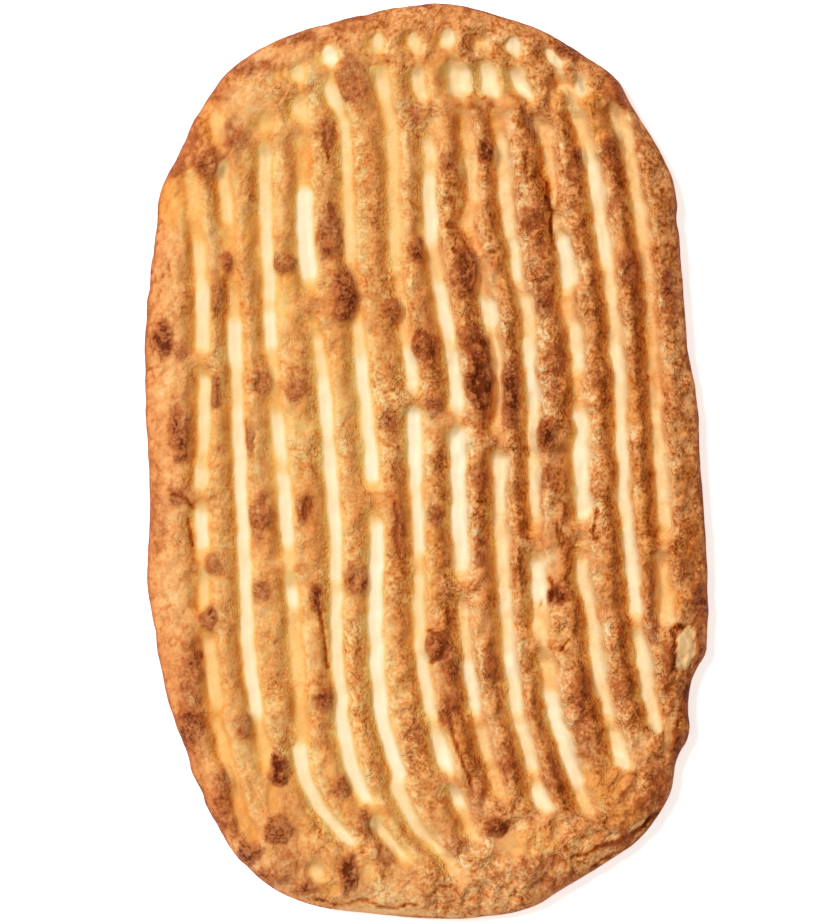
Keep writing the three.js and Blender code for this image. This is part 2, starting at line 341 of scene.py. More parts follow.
SCORCHES = tuple(Scorch(*row) for row in (
    (-102.5, 170, 8, 8, 0.5), (-114, 156, 9, 8, 0.55, 1.6), (-133, 153, 8, 6, 0.6),
    (-40, 199, 8, 12, 0.5, 1.4), (-53, 171, 4, 8, 0.5), (-3, 179, 6, 6, 0.42),
    (-51, 118, 6, 14, 0.62, 0.8), (-42, 86, 6, 12, 0.95, 2), (-18, 79, 5, 6, 0.55, 1),
    (-5.5, 110, 4, 6, 0.7, 0.8), (-75, 103, 6, 5, 0.6, 0.8), (-60.5, 80, 4, 6, 0.3),
    (-112, 86, 7, 9, 0.34), (-104, 103, 3, 6, 0.55), (-137.5, 64, 4.5, 8, 0.95, 0.8),
    (-128, 57, 4, 6, 0.4), (-111, 35, 3, 8, 0.6), (-129.5, 15, 5, 14, 0.7, 1), (-86, 42, 6, 7, 0.45, 0.8),
    (-67.5, 38, 5, 7, 0.52, 0.8), (-3, 59, 6, 8, 0.68, 2.2), (-20, 21, 4, 7, 0.5), (-93, 9, 3, 8, 0.45),
    (-87, -28, 6, 10, 0.62, 1), (-64, -24, 3.5, 7, 0.62, 0.8), (-15.5, -36, 4, 16, 0.42),
    (-112, -54, 5, 6, 0.48, 0.8), (-37, -62, 6, 9, 0.6, 1), (-113, -82, 4.5, 6, 0.82, 0.9),
    (-87, -67, 5, 6, 0.5, 0.7), (-58, -71, 3, 6, 0.75, 0.6), (-123, -112, 6, 20, 0.5),
    (-53, -125, 4.5, 7, 0.6, 0.8), (-124, -139, 7, 10, 0.85, 1.6), (-95, -138, 5, 7, 0.55),
    (-78, -160, 5, 8, 1, 2.4), (-105, -167, 5, 8, 0.58), (-100, -190, 7, 9, 0.34),
    (-93, -204, 6, 7, 0.85), (-78, -192, 7, 7, 0.7, 1.8), (-44, -170, 4, 6, 0.55), (-32, -190, 5, 8, 0.5),
    (-41, -215, 5, 8, 0.95, 1.8), (-63, -222, 8, 5, 0.7, 1.2), (-22, -207, 6, 5, 0.45),
    (-6, -142, 4, 6, 0.36), (31, 161.5, 4, 7, 0.9, 1), (10.5, 155, 4, 6, 0.55, 0.7),
    (54, 173, 4, 9, 0.55), (79, 157, 4, 7, 0.8), (60, 182, 4, 5, 0.45), (72, 215, 8, 5, 0.7),
    (97, 162, 5, 10, 0.6), (98, 134, 4, 6, 0.5), (76, 152, 3.5, 12, 0.4), (55, 127, 6, 8, 0.5),
    (20, 99, 6, 12, 0.72, 2.4), (60, 83, 4, 9, 0.72, 0.8), (105, 102, 5, 10, 0.6, 0.8),
    (110, 81, 3, 5, 0.5), (126, 89, 4, 12, 0.6, 0.7), (21.5, 65, 5, 5, 0.62, 1), (27.5, 44, 7, 20, 1, 2),
    (43.5, 36, 4, 15, 1, 1), (3.5, 28.5, 5, 6, 0.5), (61, 13, 6, 9, 0.75, 1.2), (106, 53, 4, 6, 0.25),
    (88, 42, 3, 6, 0.4), (27, -10, 4, 5, 0.55), (62.5, -8, 5, 6, 0.55, 0.7), (27.5, -46, 3, 12, 0.55),
    (4, -28, 4, 6, 0.45), (68, -69.5, 5, 5, 0.75, 1.4), (134.5, -58, 4, 9, 0.36),
    (142, -98, 2.5, 13, 0.75), (117, -66, 4, 14, 0.32), (126, -100, 3, 14, 0.42),
    (-119, -148, 5, 12, 0.28), (-44, 229, 14, 5, 0.32), (-95, 205, 8, 6, 0.26), (-140, -30, 5, 16, 0.35),
    (143, -71, 5, 9, 0.75), (4.5, -96.5, 7, 7, 0.66, 2.6), (12, -106, 5, 15, 0.5), (32, -106, 4, 9, 0.42),
    (101, -118, 4, 7, 0.45), (80, -121, 5, 9, 0.65, 0.8), (116.5, -86, 4, 9, 0.45),
    (11, -126, 5, 9, 0.55), (44, -158, 4, 6, 0.6, 0.6), (37, -191, 6, 5, 0.72, 2), (13, -200, 6, 6, 0.3),
    (62, -208, 7, 5, 0.5), (11, -226, 5, 4, 0.32, 1.6), (51.5, -213, 9, 8, 0.3, 2.4),
    (100, 192, 7, 9, 0.55), (112, 173, 5, 9, 0.4), (122, -165, 6, 12, 0.4), (102, -198, 12, 7, 0.45),
    (70, -221, 12, 6, 0.45), (137, -121, 4, 9, 1), (147, -74, 4, 10, 0.95), (131, -149, 4, 7, 0.85),
    (-107, -181, 5, 13, 0.6), (-83, -217, 10, 5, 0.6, 1), (-130, 168, 10, 6, 0.45),
    (-113, 194, 12, 5, 0.35), (112, 190, 9, 6, 0.6), (84, 212, 9, 4, 0.55), (120, -176, 8, 6, 0.5),
    (82, -142, 6, 12, 0.4), (66, 47, 6, 22, 0.3), (58, 104, 6, 14, 0.32), (-73, -208, 8, 11, 0.3),
    (-23, -207, 6, 9, 0.3), (27, -176, 5, 12, 0.36), (64, -165, 3.5, 10, 0.42), (64.5, -71, 2.4, 4.5, 1),
    (-130, -18, 6, 6, 0.5, 0.7), (-96, 206, 14, 6, 0.5), (-70, 222, 16, 4, 0.5), (-40, 233, 16, 4, 0.55),
))

CRACKS = tuple(Crack(*row) for row in (
    (((60.6, -75.8), (64.5, -71), (68.2, -66)), 1.5, 2.6, 1),
    (((63.6, -61.2), (66.4, -67)), 1.1, 1.6, 0.8),
    (((67.5, -33), (68.5, -40), (70.5, -45.5), (71.8, -41), (70, -35)), 0.9, 0.9, 0.5),
    (((88.6, -25), (87.4, -32), (86.8, -40)), 1.1, 1.2, 0.65),
    (((74, -92.5), (70, -98.5)), 0.9, 0.9, 0.6),
    (((63.5, 146), (63, 137), (65.5, 129), (64.5, 120), (67, 111)), 1.3, 1.6, 0.85),
    (((52, 160), (51.5, 152), (52.5, 145)), 0.9, 1, 0.5),
    (((-53, 171), (-52.5, 164), (-51, 157)), 1, 1.2, 0.65),
    (((-17, -22), (-15, -30), (-16.5, -39), (-14.5, -50)), 1, 1.2, 0.6),
    (((-94, 20), (-93.5, 10), (-94.5, 0)), 0.9, 1, 0.55),
    (((11, -126), (14, -145), (18, -155), (24, -170)), 1, 1.2, 0.6),
    (((-58, -66), (-55.5, -80), (-53.5, -93), (-52, -107)), 1, 1.3, 0.65),
    (((-58, -229), (-45, -232), (-35, -229), (-20, -233), (-5, -231)), 1, 1.6, 0.5),
    (((-79, -154), (-77, -160), (-78.5, -167)), 1.4, 2.2, 0.9),
    (((-62, -20), (-64, -25), (-63.5, -30)), 1.1, 1.4, 0.8),
    (((-132, -17), (-125, -20), (-121, -25)), 1, 1.3, 0.6),
    (((-124, -30), (-123, -38), (-122, -44)), 0.9, 1, 0.6),
    (((21, 60), (28, 52), (25, 40), (30, 28)), 1.3, 1.6, 0.9),
    (((116, 44), (122, 38), (126, 33)), 0.9, 1, 0.5),
    (((0, -88), (6, -90), (10, -95), (8, -102), (2, -104)), 1.2, 1.6, 0.85),
    (((-7, 64), (-3, 67), (2, 63), (3, 56), (-1, 51)), 1, 1.4, 0.75),
    (((14, 110), (20, 106), (24, 98), (21, 90)), 1.1, 1.5, 0.75),
    (((31, -189), (36, -187), (42, -191), (39, -196)), 1.1, 1.5, 0.75),
    (((128, -88), (130, -100), (134, -110)), 1.1, 1.6, 0.7),
    (((130, -86), (137, -88), (140, -97), (137, -108)), 1.1, 1.5, 0.65),
    (((4, -225), (8, -222), (14, -222.5), (17.5, -226)), 0.8, 0.9, 0.5),
    (((114, 84), (119, 78), (121, 70)), 0.8, 0.8, 0.45),
    (((76, -207), (88, -202), (100, -199), (112, -192), (120, -184)), 1.3, 1.8, 0.6),
    (((86, -212), (96, -206), (108, -203), (118, -195)), 1, 1.2, 0.5),
    (((129, -108), (128, -100), (130, -92)), 1.2, 1.8, 0.7),
))

FLAKES = tuple(Flake(*row) for row in (
    (135, -98, 5.4, 13, -8, 1), (103, 65, 3.6, 5.5, 10, 0.75), (67.6, 121, 1.5, 7, 6, 1),
    (66.4, 137, 1.4, 6, -6, 0.9), (92, 187, 5, 1.5, 35, 0.5), (113, 176, 1.4, 4, 20, 0.5),
    (84, -202, 4, 1.4, 25, 0.7), (97, -196, 5, 1.6, 20, 0.8), (110, -190, 5, 1.4, 35, 0.7),
    (-30, -235.5, 30, 2.2, 0, 0.5),
))

# Golden zones; those along the right rim, from x 118 to 140, also lighten crust that faces away from the
# light there: painted light
GLOWS = tuple(Glow(*row) for row in (
    (-96, -158, 14, 26, 0.6), (-72, 98, 20, 24, 0.9), (14, 200, 52, 14, 0.6), (-118, 112, 14, 26, 0.5),
    (-20, -182, 26, 16, 0.6), (95, -172, 18, 12, 0.8), (-100, 178, 16, 12, 0.4), (66, -96, 9, 20, 0.5),
    (118, -30, 9, 40, 0.5), (-42, 52, 18, 26, 0.7), (60, -200, 26, 10, 0.6), (-76, -4, 8, 40, 0.4),
    (124, -66, 7, 14, 0.8), (140, -42, 6, 12, 0.7), (-4, -50, 16, 20, 0.6), (108, 38, 9, 20, 0.6),
    (84, 180, 14, 11, 0.8), (70, 189, 8, 10, 0.8), (-68, 26, 8, 16, 0.7),
))


def ease(share: Array) -> Array:
    """Clamped smooth step from 0 to 1."""
    held = np.clip(share, 0.0, 1.0)
    return held * held * (3.0 - 2.0 * held)


def midway(value: Array) -> Array:
    """Smooth step that is half way where the value is 0."""
    return ease(0.5 + value)


def near(gap: Array, band: Array | float) -> Array:
    """Shares that fade from 1 at no gap to 0 across a band."""
    return ease(1.0 - gap / band)


def between(share: Array) -> Array:
    """1 where a share is a half, down to 0 where it is none or whole."""
    return 4.0 * share * (1.0 - share)


def at_least(least: float, share: Array | float) -> Array | float:
    """Shares raised so that none is under the least one."""
    return least + (1.0 - least) * share


def strongest(parts: Iterable[Array]) -> Array:
    """The largest of several values at each place."""
    return functools.reduce(np.maximum, parts)


def linear(srgb: Shade) -> tuple[float, ...]:
    """Turns an 8-bit sRGB colour into scene-linear values.

    Args:
        srgb: Red, green and blue from 0 to 255.

    Returns:
        The same colour in linear light.
    """
    knee, slope, lift, power = 0.04045, 12.92, 0.055, 2.4
    parts = (value / 255.0 for value in srgb)
    return tuple(part / slope if part <= knee else ((part + lift) / (1.0 + lift)) ** power for part in parts)


def lattice_noise(x: Array, y: Array, cell: float, seed: int) -> Array:
    """Smooth noise with one size of lump.

    Args:
        x: Places across the loaf.
        y: Places along the loaf.
        cell: Size of a lump, in the same unit as the places.
        seed: Which of the endless patterns to use.

    Returns:
        Values from about -1 to 1, one for each place.
    """
    u, v = x / cell, y / cell
    left, low = np.floor(u).astype(np.int64), np.floor(v).astype(np.int64)
    inside_u, inside_v = u - left, v - low
    fade_u, fade_v = ease(inside_u), ease(inside_v)

    def corner(step_u: int, step_v: int) -> Array:
        """Pull of one lattice corner on the places in its cells.

        Args:
            step_u: Whether it is the corner on the right.
            step_v: Whether it is the corner at the head.

        Returns:
            The pull at each place.
        """
        mixed = (left + step_u) * HASH_ACROSS + (low + step_v) * HASH_ALONG + seed * HASH_SEED
        mixed = mixed & HASH_MASK
        mixed = ((mixed ^ (mixed >> HASH_SHIFT)) * HASH_MIX) & HASH_MASK
        angle = (mixed ^ (mixed >> HASH_LAST_SHIFT)) / HASH_MASK * 2.0 * math.pi
        return np.cos(angle) * (inside_u - step_u) + np.sin(angle) * (inside_v - step_v)

    lower = corner(0, 0) * (1.0 - fade_u) + corner(1, 0) * fade_u
    upper = corner(0, 1) * (1.0 - fade_u) + corner(1, 1) * fade_u
    return (lower * (1.0 - fade_v) + upper * fade_v) * NOISE_GAIN


def station_curve(values: tuple[float, ...], y: Array) -> Array:
    """Smooth curve through one value at each station.

    Args:
        values: The value at each of STATIONS.
        y: Places along the loaf.

    Returns:
        The curve's value at each place, level beyond the end stations.
    """
    at, given = np.array(STATIONS), np.array(values, dtype=float)
    slopes = np.diff(given) / np.diff(at)
    tangents = np.concatenate([slopes[:1], (slopes[1:] + slopes[:-1]) / 2.0, slopes[-1:]])
    held = np.clip(y, at[0], at[-1])
    cell = np.clip(np.searchsorted(at, held, side="right") - 1, 0, len(at) - 2)
    width = at[cell + 1] - at[cell]
    share = (held - at[cell]) / width
    square, cube = share**2, share**3
    start = (2 * cube - 3 * square + 1) * given[cell] + (cube - 2 * square + share) * width * tangents[cell]
    stop = (3 * square - 2 * cube) * given[cell + 1] + (cube - square) * width * tangents[cell + 1]
    return start + stop


def path_distance(x: Array, y: Array, points: Array) -> Array:
    """Distance from each place to an open line of points.

    Args:
        x: Places across the loaf.
        y: Places along the loaf.
        points: The line's points, one a row.

    Returns:
        The distance from each place to the nearest stretch of the line.
    """
    least = np.full(x.shape, np.inf)
    for (from_x, from_y), (to_x, to_y) in zip(points[:-1], points[1:]):
        run_x, run_y = to_x - from_x, to_y - from_y
        share = ((x - from_x) * run_x + (y - from_y) * run_y) / (run_x**2 + run_y**2)
        share = np.clip(share, 0.0, 1.0)
        np.minimum(least, np.hypot(x - from_x - share * run_x, y - from_y - share * run_y), out=least)
    return least


@dataclass(frozen=True)
class Speck:
    """One noise of a finish: the size of its lumps in metres, its finer layers and how strong they are."""

    size: float
    detail: float
    rough: float


@dataclass
class NodeBench:
    """Lays out nodes in one tree and joins them.

    Args:
        tree: The node tree that is being built.
    """

    tree: bpy.types.NodeTree
    placed: int = 0
    columns: int = 8
    step: Point = (200.0, -260.0)

    def node(self, kind: str, parts: Inputs | None = None, **settings: object) -> bpy.types.Node:
        """Adds a node in the next free place.

        Args:
            kind: Blender's name for the kind of node.
            parts: What goes into its inputs, by name or number.
            settings: Its properties, by name.

        Returns:
            The new node.
        """
        made = self.tree.nodes.new(kind)
        row, column = divmod(self.placed, self.columns)
        made.location = (self.step[0] * column, self.step[1] * row)
        self.placed += 1
        for name, value in settings.items():
            setattr(made, name, value)
        self.feed(made, parts or {})
        return made

    def feed(self, node: bpy.types.Node, parts: Inputs) -> None:
        """Links sockets to a node's inputs, and sets plain values on them.

        Args:
            node: The node.
            parts: What goes into its inputs, by name or number.
        """
        for name, part in parts.items():
            if isinstance(part, bpy.types.NodeSocket):
                self.tree.links.new(part, node.inputs[name])
            else:
                node.inputs[name].default_value = part

    def math(self, operation: str, *parts: object) -> Socket:
        """One arithmetic step on sockets or numbers."""
        return self.node("ShaderNodeMath", dict(enumerate(parts)), operation=operation).outputs[0]

    def ramp(self, value: Socket, span: Span, top: float = 1.0) -> Socket:
        """Maps a span of values smoothly to 0 and the top, held at both ends."""
        parts = dict(enumerate((value, *span, 0.0, top)))
        return self.node("ShaderNodeMapRange", parts, interpolation_type="SMOOTHSTEP").outputs[0]

    def mix(self, share: Socket, first: Socket, second: Shade, blend: str = "MIX") -> Socket:
        """Mixes a colour into another.

        Args:
            share: How much of the second colour shows.
            first: The first colour.
            second: The second colour, from 0 to 255.
            blend: Blender's name for the way of mixing.

        Returns:
            The socket with the mixed colour.
        """
        made = self.node("ShaderNodeMix", {"Factor": share}, data_type="RGBA", blend_type=blend)
        numbers = [number for number, socket in enumerate(made.inputs) if socket.type == "RGBA"]
        self.feed(made, dict(zip(numbers, (first, (*linear(second), 1.0)))))
        return next(socket for socket in made.outputs if socket.type == "RGBA")

    def place(self) -> Socket:
        """Where each point lies on its object."""
        return self.node("ShaderNodeTexCoord").outputs["Object"]

    def noise(self, place: Socket, speck: Speck) -> Socket:
        """Noise from 0 to 1 with lumps of a stated size."""
        parts = {"Vector": place, "Scale": 1.0 / speck.size, "Detail": speck.detail, "Roughness": speck.rough}
        return self.node("ShaderNodeTexNoise", parts, noise_dimensions="3D").outputs["Fac"]

    def layer(self, name: Layer) -> Socket:
        """Reads one of the values that the mesh carries."""
        return self.node("ShaderNodeAttribute", attribute_name=name.value).outputs["Fac"]

    def group(self, tree: bpy.types.NodeTree, **parts: Socket) -> bpy.types.bpy_prop_collection:
        """Places a node group, with what goes into its inputs by name, and gives its outputs."""
        return self.node("ShaderNodeGroup", parts, node_tree=tree).outputs

    def bump(self, height: Socket, strength: float, depth: float) -> Socket:
        """Turns a height from 0 to 1, which stands for a depth in metres, into a surface normal."""
        parts = {"Height": height, "Strength": strength, "Distance": depth}
        return self.node("ShaderNodeBump", parts).outputs["Normal"]


def start_group(name: str, inputs: dict[str, str], outputs: dict[str, str]) -> bpy.types.NodeTree:
    """Makes an empty shader node group with named sockets.

    Args:
        name: The group's name.
        inputs: Socket type of each input, by name.
        outputs: Socket type of each output, by name.

    Returns:
        The new group.
    """
    group = bpy.data.node_groups.new(name, "ShaderNodeTree")
    for way, sockets in (("INPUT", inputs), ("OUTPUT", outputs)):
        for label, kind in sockets.items():
            group.interface.new_socket(label, in_out=way, socket_type=kind)
    return group


def start_material(name: str) -> tuple[bpy.types.Material, NodeBench, bpy.types.Node]:
    """Makes a material.

    Args:
        name: The material's name.

    Returns:
        The material, a bench for its nodes and its shader.
    """
    material = bpy.data.materials.new(name)
    material.use_nodes = True
    return material, NodeBench(material.node_tree), material.node_tree.nodes["Principled BSDF"]


@dataclass(frozen=True)
class BreadGroups:
    """The node groups that the loaf's finishes share: sandy grain, and colour by how far it is baked."""

    grain: bpy.types.NodeTree
    colour: bpy.types.NodeTree


@dataclass(frozen=True)
class BreadEffects:
    """Sizes and colours of the effects that the loaf's finishes share."""

    clumps: Speck = Speck(0.005, 2.0, 0.6)
    sand: Speck = Speck(0.0018, 1.0, 0.5)
    sand_share: float = 0.75
    grain_top: float = 1.06
    grain_round: float = 0.25
    mottle: Speck = Speck(0.0075, 3.0, 0.55)
    winding: Speck = Speck(0.0065, 2.0, 0.55)
    wrinkle_half: float = 0.05
    wrinkle_depth: float = 0.35
    wrinkle_patch: Speck = Speck(0.02, 1.0, 0.5)
    wrinkled: Span = (0.42, 0.6)
    pits: Span = (0.56, 0.4)
    bake_end: float = 1.6
    bake_stops: tuple[tuple[float, Shade], ...] = (
        (0.0, (250, 243, 230)),
        (0.16, (246, 231, 199)),
        (0.32, (239, 205, 150)),
        (0.48, (232, 171, 109)),
        (0.64, (218, 142, 81)),
        (0.8, (187, 108, 48)),
        (1.0, (147, 66, 8)),
        (1.25, (108, 42, 12)),
        (1.6, (52, 20, 10)),
    )

    def grain_group(self) -> bpy.types.NodeTree:
        """Builds the grain of a dry crust: clumps with fine sand on them, and thin wrinkles in patches.

        Returns:
            A group that gives mottle and lumps around 0, pits and wrinkles from 0 to 1, and a height.
        """
        number = "NodeSocketFloat"
        outputs = {name: number for name in ("Mottle", "Lumps", "Pits", "Wrinkles", "Height")}
        group = start_group("sandy grain", {"Place": "NodeSocketVector"}, outputs)
        bench = NodeBench(group)
        place = bench.node("NodeGroupInput").outputs["Place"]
        specks = (self.clumps, self.sand, self.mottle, self.winding, self.wrinkle_patch)
        clumps, sand, mottle, winding, patch = (bench.noise(place, speck) for speck in specks)
        height = bench.math("MULTIPLY_ADD", sand, self.sand_share, clumps)
        height = bench.math("SMOOTH_MIN", height, self.grain_top, self.grain_round)
        off_line = bench.math("ABSOLUTE", bench.math("SUBTRACT", winding, NOISE_MIDDLE))
        wrinkles = bench.ramp(off_line, (self.wrinkle_half, 0.0))
        wrinkles = bench.math("MULTIPLY", wrinkles, bench.ramp(patch, self.wrinkled))
        results = {
            "Mottle": bench.math("SUBTRACT", mottle, NOISE_MIDDLE),
            "Lumps": bench.math("SUBTRACT", height, NOISE_MIDDLE * (1.0 + self.sand_share)),
            "Pits": bench.ramp(height, self.pits),
            "Wrinkles": wrinkles,
            "Height": bench.math("MULTIPLY_ADD", wrinkles, -self.wrinkle_depth, height),
        }
        bench.node("NodeGroupOutput", results)
        return group

    def colour_group(self) -> bpy.types.NodeTree:
        """Builds the run of colours from pale dough through brown crust to soot.

        Returns:
            A group that turns a bake from 0 up into a colour.
        """
        group = start_group("baked colour", {"Bake": "NodeSocketFloat"}, {"Colour": "NodeSocketColor"})
        bench = NodeBench(group)
        ramp = bench.node("ShaderNodeValToRGB")
        stops = ramp.color_ramp.elements
        for bake, _ in self.bake_stops[1:-1]:
            stops.new(bake / self.bake_end)
        for stop, (_, shade) in zip(stops, self.bake_stops):
            stop.color = (*linear(shade), 1.0)
        bake = bench.node("NodeGroupInput").outputs["Bake"]
        bench.feed(ramp, {"Fac": bench.math("DIVIDE", bake, self.bake_end)})
        bench.node("NodeGroupOutput", {"Colour": ramp.outputs["Color"]})
        return group

    def build(self) -> BreadGroups:
        """Builds both groups."""
        return BreadGroups(self.grain_group(), self.colour_group())


@dataclass(frozen=True)
class BakedCrust:
    """Finish of the crust: how its baked colours are broken up, with painted light and shade on its grain, a
    golden tint that also paints the shade on its flanks, soot and gloss.
    """

    # Golden tint, multiplied in; where the layer is strong on the ridges' flanks it is painted shade
    amber: Shade = (255, 226, 100)
    amber_and_shade_share: float = 0.66
    blush: Shade = (172, 88, 44)
    blush_share: float = 0.72
    blush_span: Span = (0.03, 0.45)
    soot: Shade = (98, 35, 5)
    soot_share: float = 0.9
    soot_span: Span = (0.42, 1.15)
    mottle: float = 0.24
    # Raised grain lumps made paler and pits darker: painted light and shade of the sandy relief
    lump: float = 1.0
    pit: float = 0.12
    wrinkle: float = 0.08
    char_break: float = 2.2
    roughness: float = 0.46
    roughness_spread: float = 0.12
    specular: float = 0.06
    bump: float = 0.9
    bump_depth: float = 0.0016

    def material(self, groups: BreadGroups) -> bpy.types.Material:
        """Builds the crust's material.

        Args:
            groups: The effects that the loaf's finishes share.

        Returns:
            The material.
        """
        material, bench, shader = start_material("crust")
        grain = bench.group(groups.grain, Place=bench.place())
        dry, char = bench.layer(Layer.GRAIN), bench.layer(Layer.CHAR)
        # Mottle and wrinkles break up the colour; the grain's lumps are made paler and its pits darker,
        # painted light and shade of its relief
        broken = bench.math("MULTIPLY", grain["Mottle"], self.mottle)
        for name, strength in (("Lumps", -self.lump), ("Pits", self.pit), ("Wrinkles", self.wrinkle)):
            broken = bench.math("MULTIPLY_ADD", grain[name], strength, broken)
        broken = bench.math("MULTIPLY", broken, dry)
        bake = bench.math("ADD", bench.layer(Layer.BAKE), broken)
        colour = bench.group(groups.colour, Bake=bake)["Colour"]
        # Golden tint multiplied in: painted shade on each ridge's flank that faces away from the light, and
        # the crust's own gold elsewhere
        amber = bench.math("MULTIPLY", bench.layer(Layer.AMBER), self.amber_and_shade_share)
        colour = bench.mix(amber, colour, self.amber, "MULTIPLY")
        scorch = bench.math("MULTIPLY_ADD", bench.math("MULTIPLY", broken, char), self.char_break, char)
        colour = bench.mix(bench.ramp(scorch, self.blush_span, self.blush_share), colour, self.blush)
        colour = bench.mix(bench.ramp(scorch, self.soot_span, self.soot_share), colour, self.soot)
        height = bench.math("MULTIPLY", grain["Height"], dry)
        bench.feed(shader, {
            "Base Color": colour,
            "Roughness": bench.math("MULTIPLY_ADD", dry, self.roughness_spread, self.roughness),
            "Specular IOR Level": self.specular,
            "Normal": bench.bump(height, self.bump, self.bump_depth),
        })
        return material


@dataclass(frozen=True)
class DustedBase:
    """Finish of the underside: browned in patches on the oven floor, with flour left on it."""

    flour: Shade = (240, 222, 188)
    bake_low: float = 0.34
    bake_span: float = 0.55
    mottle: float = 0.4
    patches: Speck = Speck(0.028, 4.0, 0.55)
    patch_span: Span = (0.32, 0.72)
    dust: Speck = Speck(0.011, 5.0, 0.7)
    dust_span: Span = (0.5, 0.85)
    dust_share: float = 0.6
    pit: float = 0.5
    pit_shade: Shade = (96, 52, 30)
    roughness: float = 0.85
    specular: float = 0.2
    bump: float = 0.6
    bump_depth: float = 0.0007

    def material(self, groups: BreadGroups) -> bpy.types.Material:
        """Builds the underside's material.

        Args:
            groups: The effects that the loaf's finishes share.

        Returns:
            The material.
        """
        material, bench, shader = start_material("underside")
        place = bench.place()
        grain = bench.group(groups.grain, Place=place)
        patches = bench.ramp(bench.noise(place, self.patches), self.patch_span, self.bake_span)
        bake = bench.math("ADD", patches, self.bake_low)
        bake = bench.math("MULTIPLY_ADD", grain["Mottle"], self.mottle, bake)
        colour = bench.group(groups.colour, Bake=bake)["Colour"]
        colour = bench.mix(bench.math("MULTIPLY", grain["Pits"], self.pit), colour, self.pit_shade)
        dust = bench.math("ADD", bench.noise(place, self.dust), grain["Lumps"])
        colour = bench.mix(bench.ramp(dust, self.dust_span, self.dust_share), colour, self.flour)
        bench.feed(shader, {
            "Base Color": colour,
            "Roughness": self.roughness,
            "Specular IOR Level": self.specular,
            "Normal": bench.bump(grain["Height"], self.bump, self.bump_depth),
        })
        return material


@dataclass(frozen=True)
class PaleFloor:
    """Finish of the studio floor."""

    colour: tuple[float, float, float] = (0.95, 0.95, 0.95)
    roughness: float = 0.9
    glow: float = 0.6

    def material(self) -> bpy.types.Material:
        """Builds the floor's material, with a faint glow that lightens the loaf's shadow.

        Returns:
            The material.
        """
        material, bench, shader = start_material("floor")
        colour = (*self.colour, 1.0)
        bench.feed(shader, {
            "Base Color": colour,
            "Roughness": self.roughness,
            "Emission Color": colour,
            "Emission Strength": self.glow,
        })
        return material


def closed_curve(points: Array, steps: int) -> Array:
    """Smooth closed curve through points.

    Args:
        points: Points in order round the curve, one a row.
        steps: How many points take the place of each of them.

    Returns:
        The finer closed curve, one point a row.
    """
    before, after, beyond = (np.roll(points, shift, axis=0) for shift in (1, -1, -2))
    fine = []
    for share in np.arange(steps) / steps:
        bend = (2 * before - 5 * points + 4 * after - beyond) * share**2
        twist = (3 * points - before - 3 * after + beyond) * share**3
        fine.append(0.5 * (2 * points + (after - before) * share + bend + twist))
    return np.stack(fine, axis=1).reshape(-1, 2)


def stretched_sheet(sides: dict[Side, Array], across: Array, along: Array) -> Array:
    """Grid of places stretched between four sides.

    Args:
        sides: Places along each side, left to right or foot to head.
        across: Share of the way across for each column.
        along: Share of the way along for each row.

    Returns:
        The places by row, column and coordinate.
    """
    foot, head = sides[Side.FOOT], sides[Side.HEAD]
    u, v = across[None, :, None], along[:, None, None]
    lengthwise = (1 - v) * foot[None] + v * head[None]
    crosswise = (1 - u) * sides[Side.LEFT][:, None] + u * sides[Side.RIGHT][:, None]
    corners = (1 - v) * ((1 - u) * foot[0] + u * foot[-1]) + v * ((1 - u) * head[0] + u * head[-1])
    return lengthwise + crosswise - corners


def border_of(sheet: Array) -> Array:
    """Values on a sheet's border, anticlockwise from its foot-left corner."""
    foot, right, head, left = sheet[0, :-1], sheet[:-1, -1], sheet[-1, :0:-1], sheet[:0:-1, 0]
    return np.concatenate([foot, right, head, left])


def sheet_faces(numbers: Array, upward: bool) -> Array:
    """Four-sided faces over a grid of point numbers.

    Args:
        numbers: The points' numbers by row and column.
        upward: Whether the faces look up or down.

    Returns:
        The points' numbers of each face, one face a row.
    """
    corners = [numbers[:-1, :-1], numbers[:-1, 1:], numbers[1:, 1:], numbers[1:, :-1]]
    if not upward:
        corners.reverse()
    return np.column_stack([corner.ravel() for corner in corners])


def inward_steps(ring: Array) -> Array:
    """Unit steps straight inward from the points of an anticlockwise ring."""
    run = np.roll(ring, -1, axis=0) - np.roll(ring, 1, axis=0)
    return np.column_stack([-run[:, 1], run[:, 0]]) / np.hypot(run[:, 0], run[:, 1])[:, None]


@dataclass(frozen=True)
class Dents:
    """Small dents in the loaf's edge: their depth, the noise they follow, and how they come and go."""

    depth: float = 0.9
    middle: float = 0.4
    least: float = 0.25
    large: Ripple = Ripple(1.0, 12.0, 61)
    small: Ripple = Ripple(0.35, 12.0 / 2.2, 62)
    broad: Ripple = Ripple(1.2, 72.0, 63)

    def at(self, points: Array) -> Array:
        """How deep the dents are at points on the edge.

        Args:
            points: The points, one a row.

        Returns:
            The depth at each point, nowhere under 0.
        """
        large, small, broad = (part.over(*points.T) for part in (self.large, self.small, self.broad))
        return self.depth * np.maximum(self.middle + large + small, 0.0) * at_least(self.least, midway(broad))


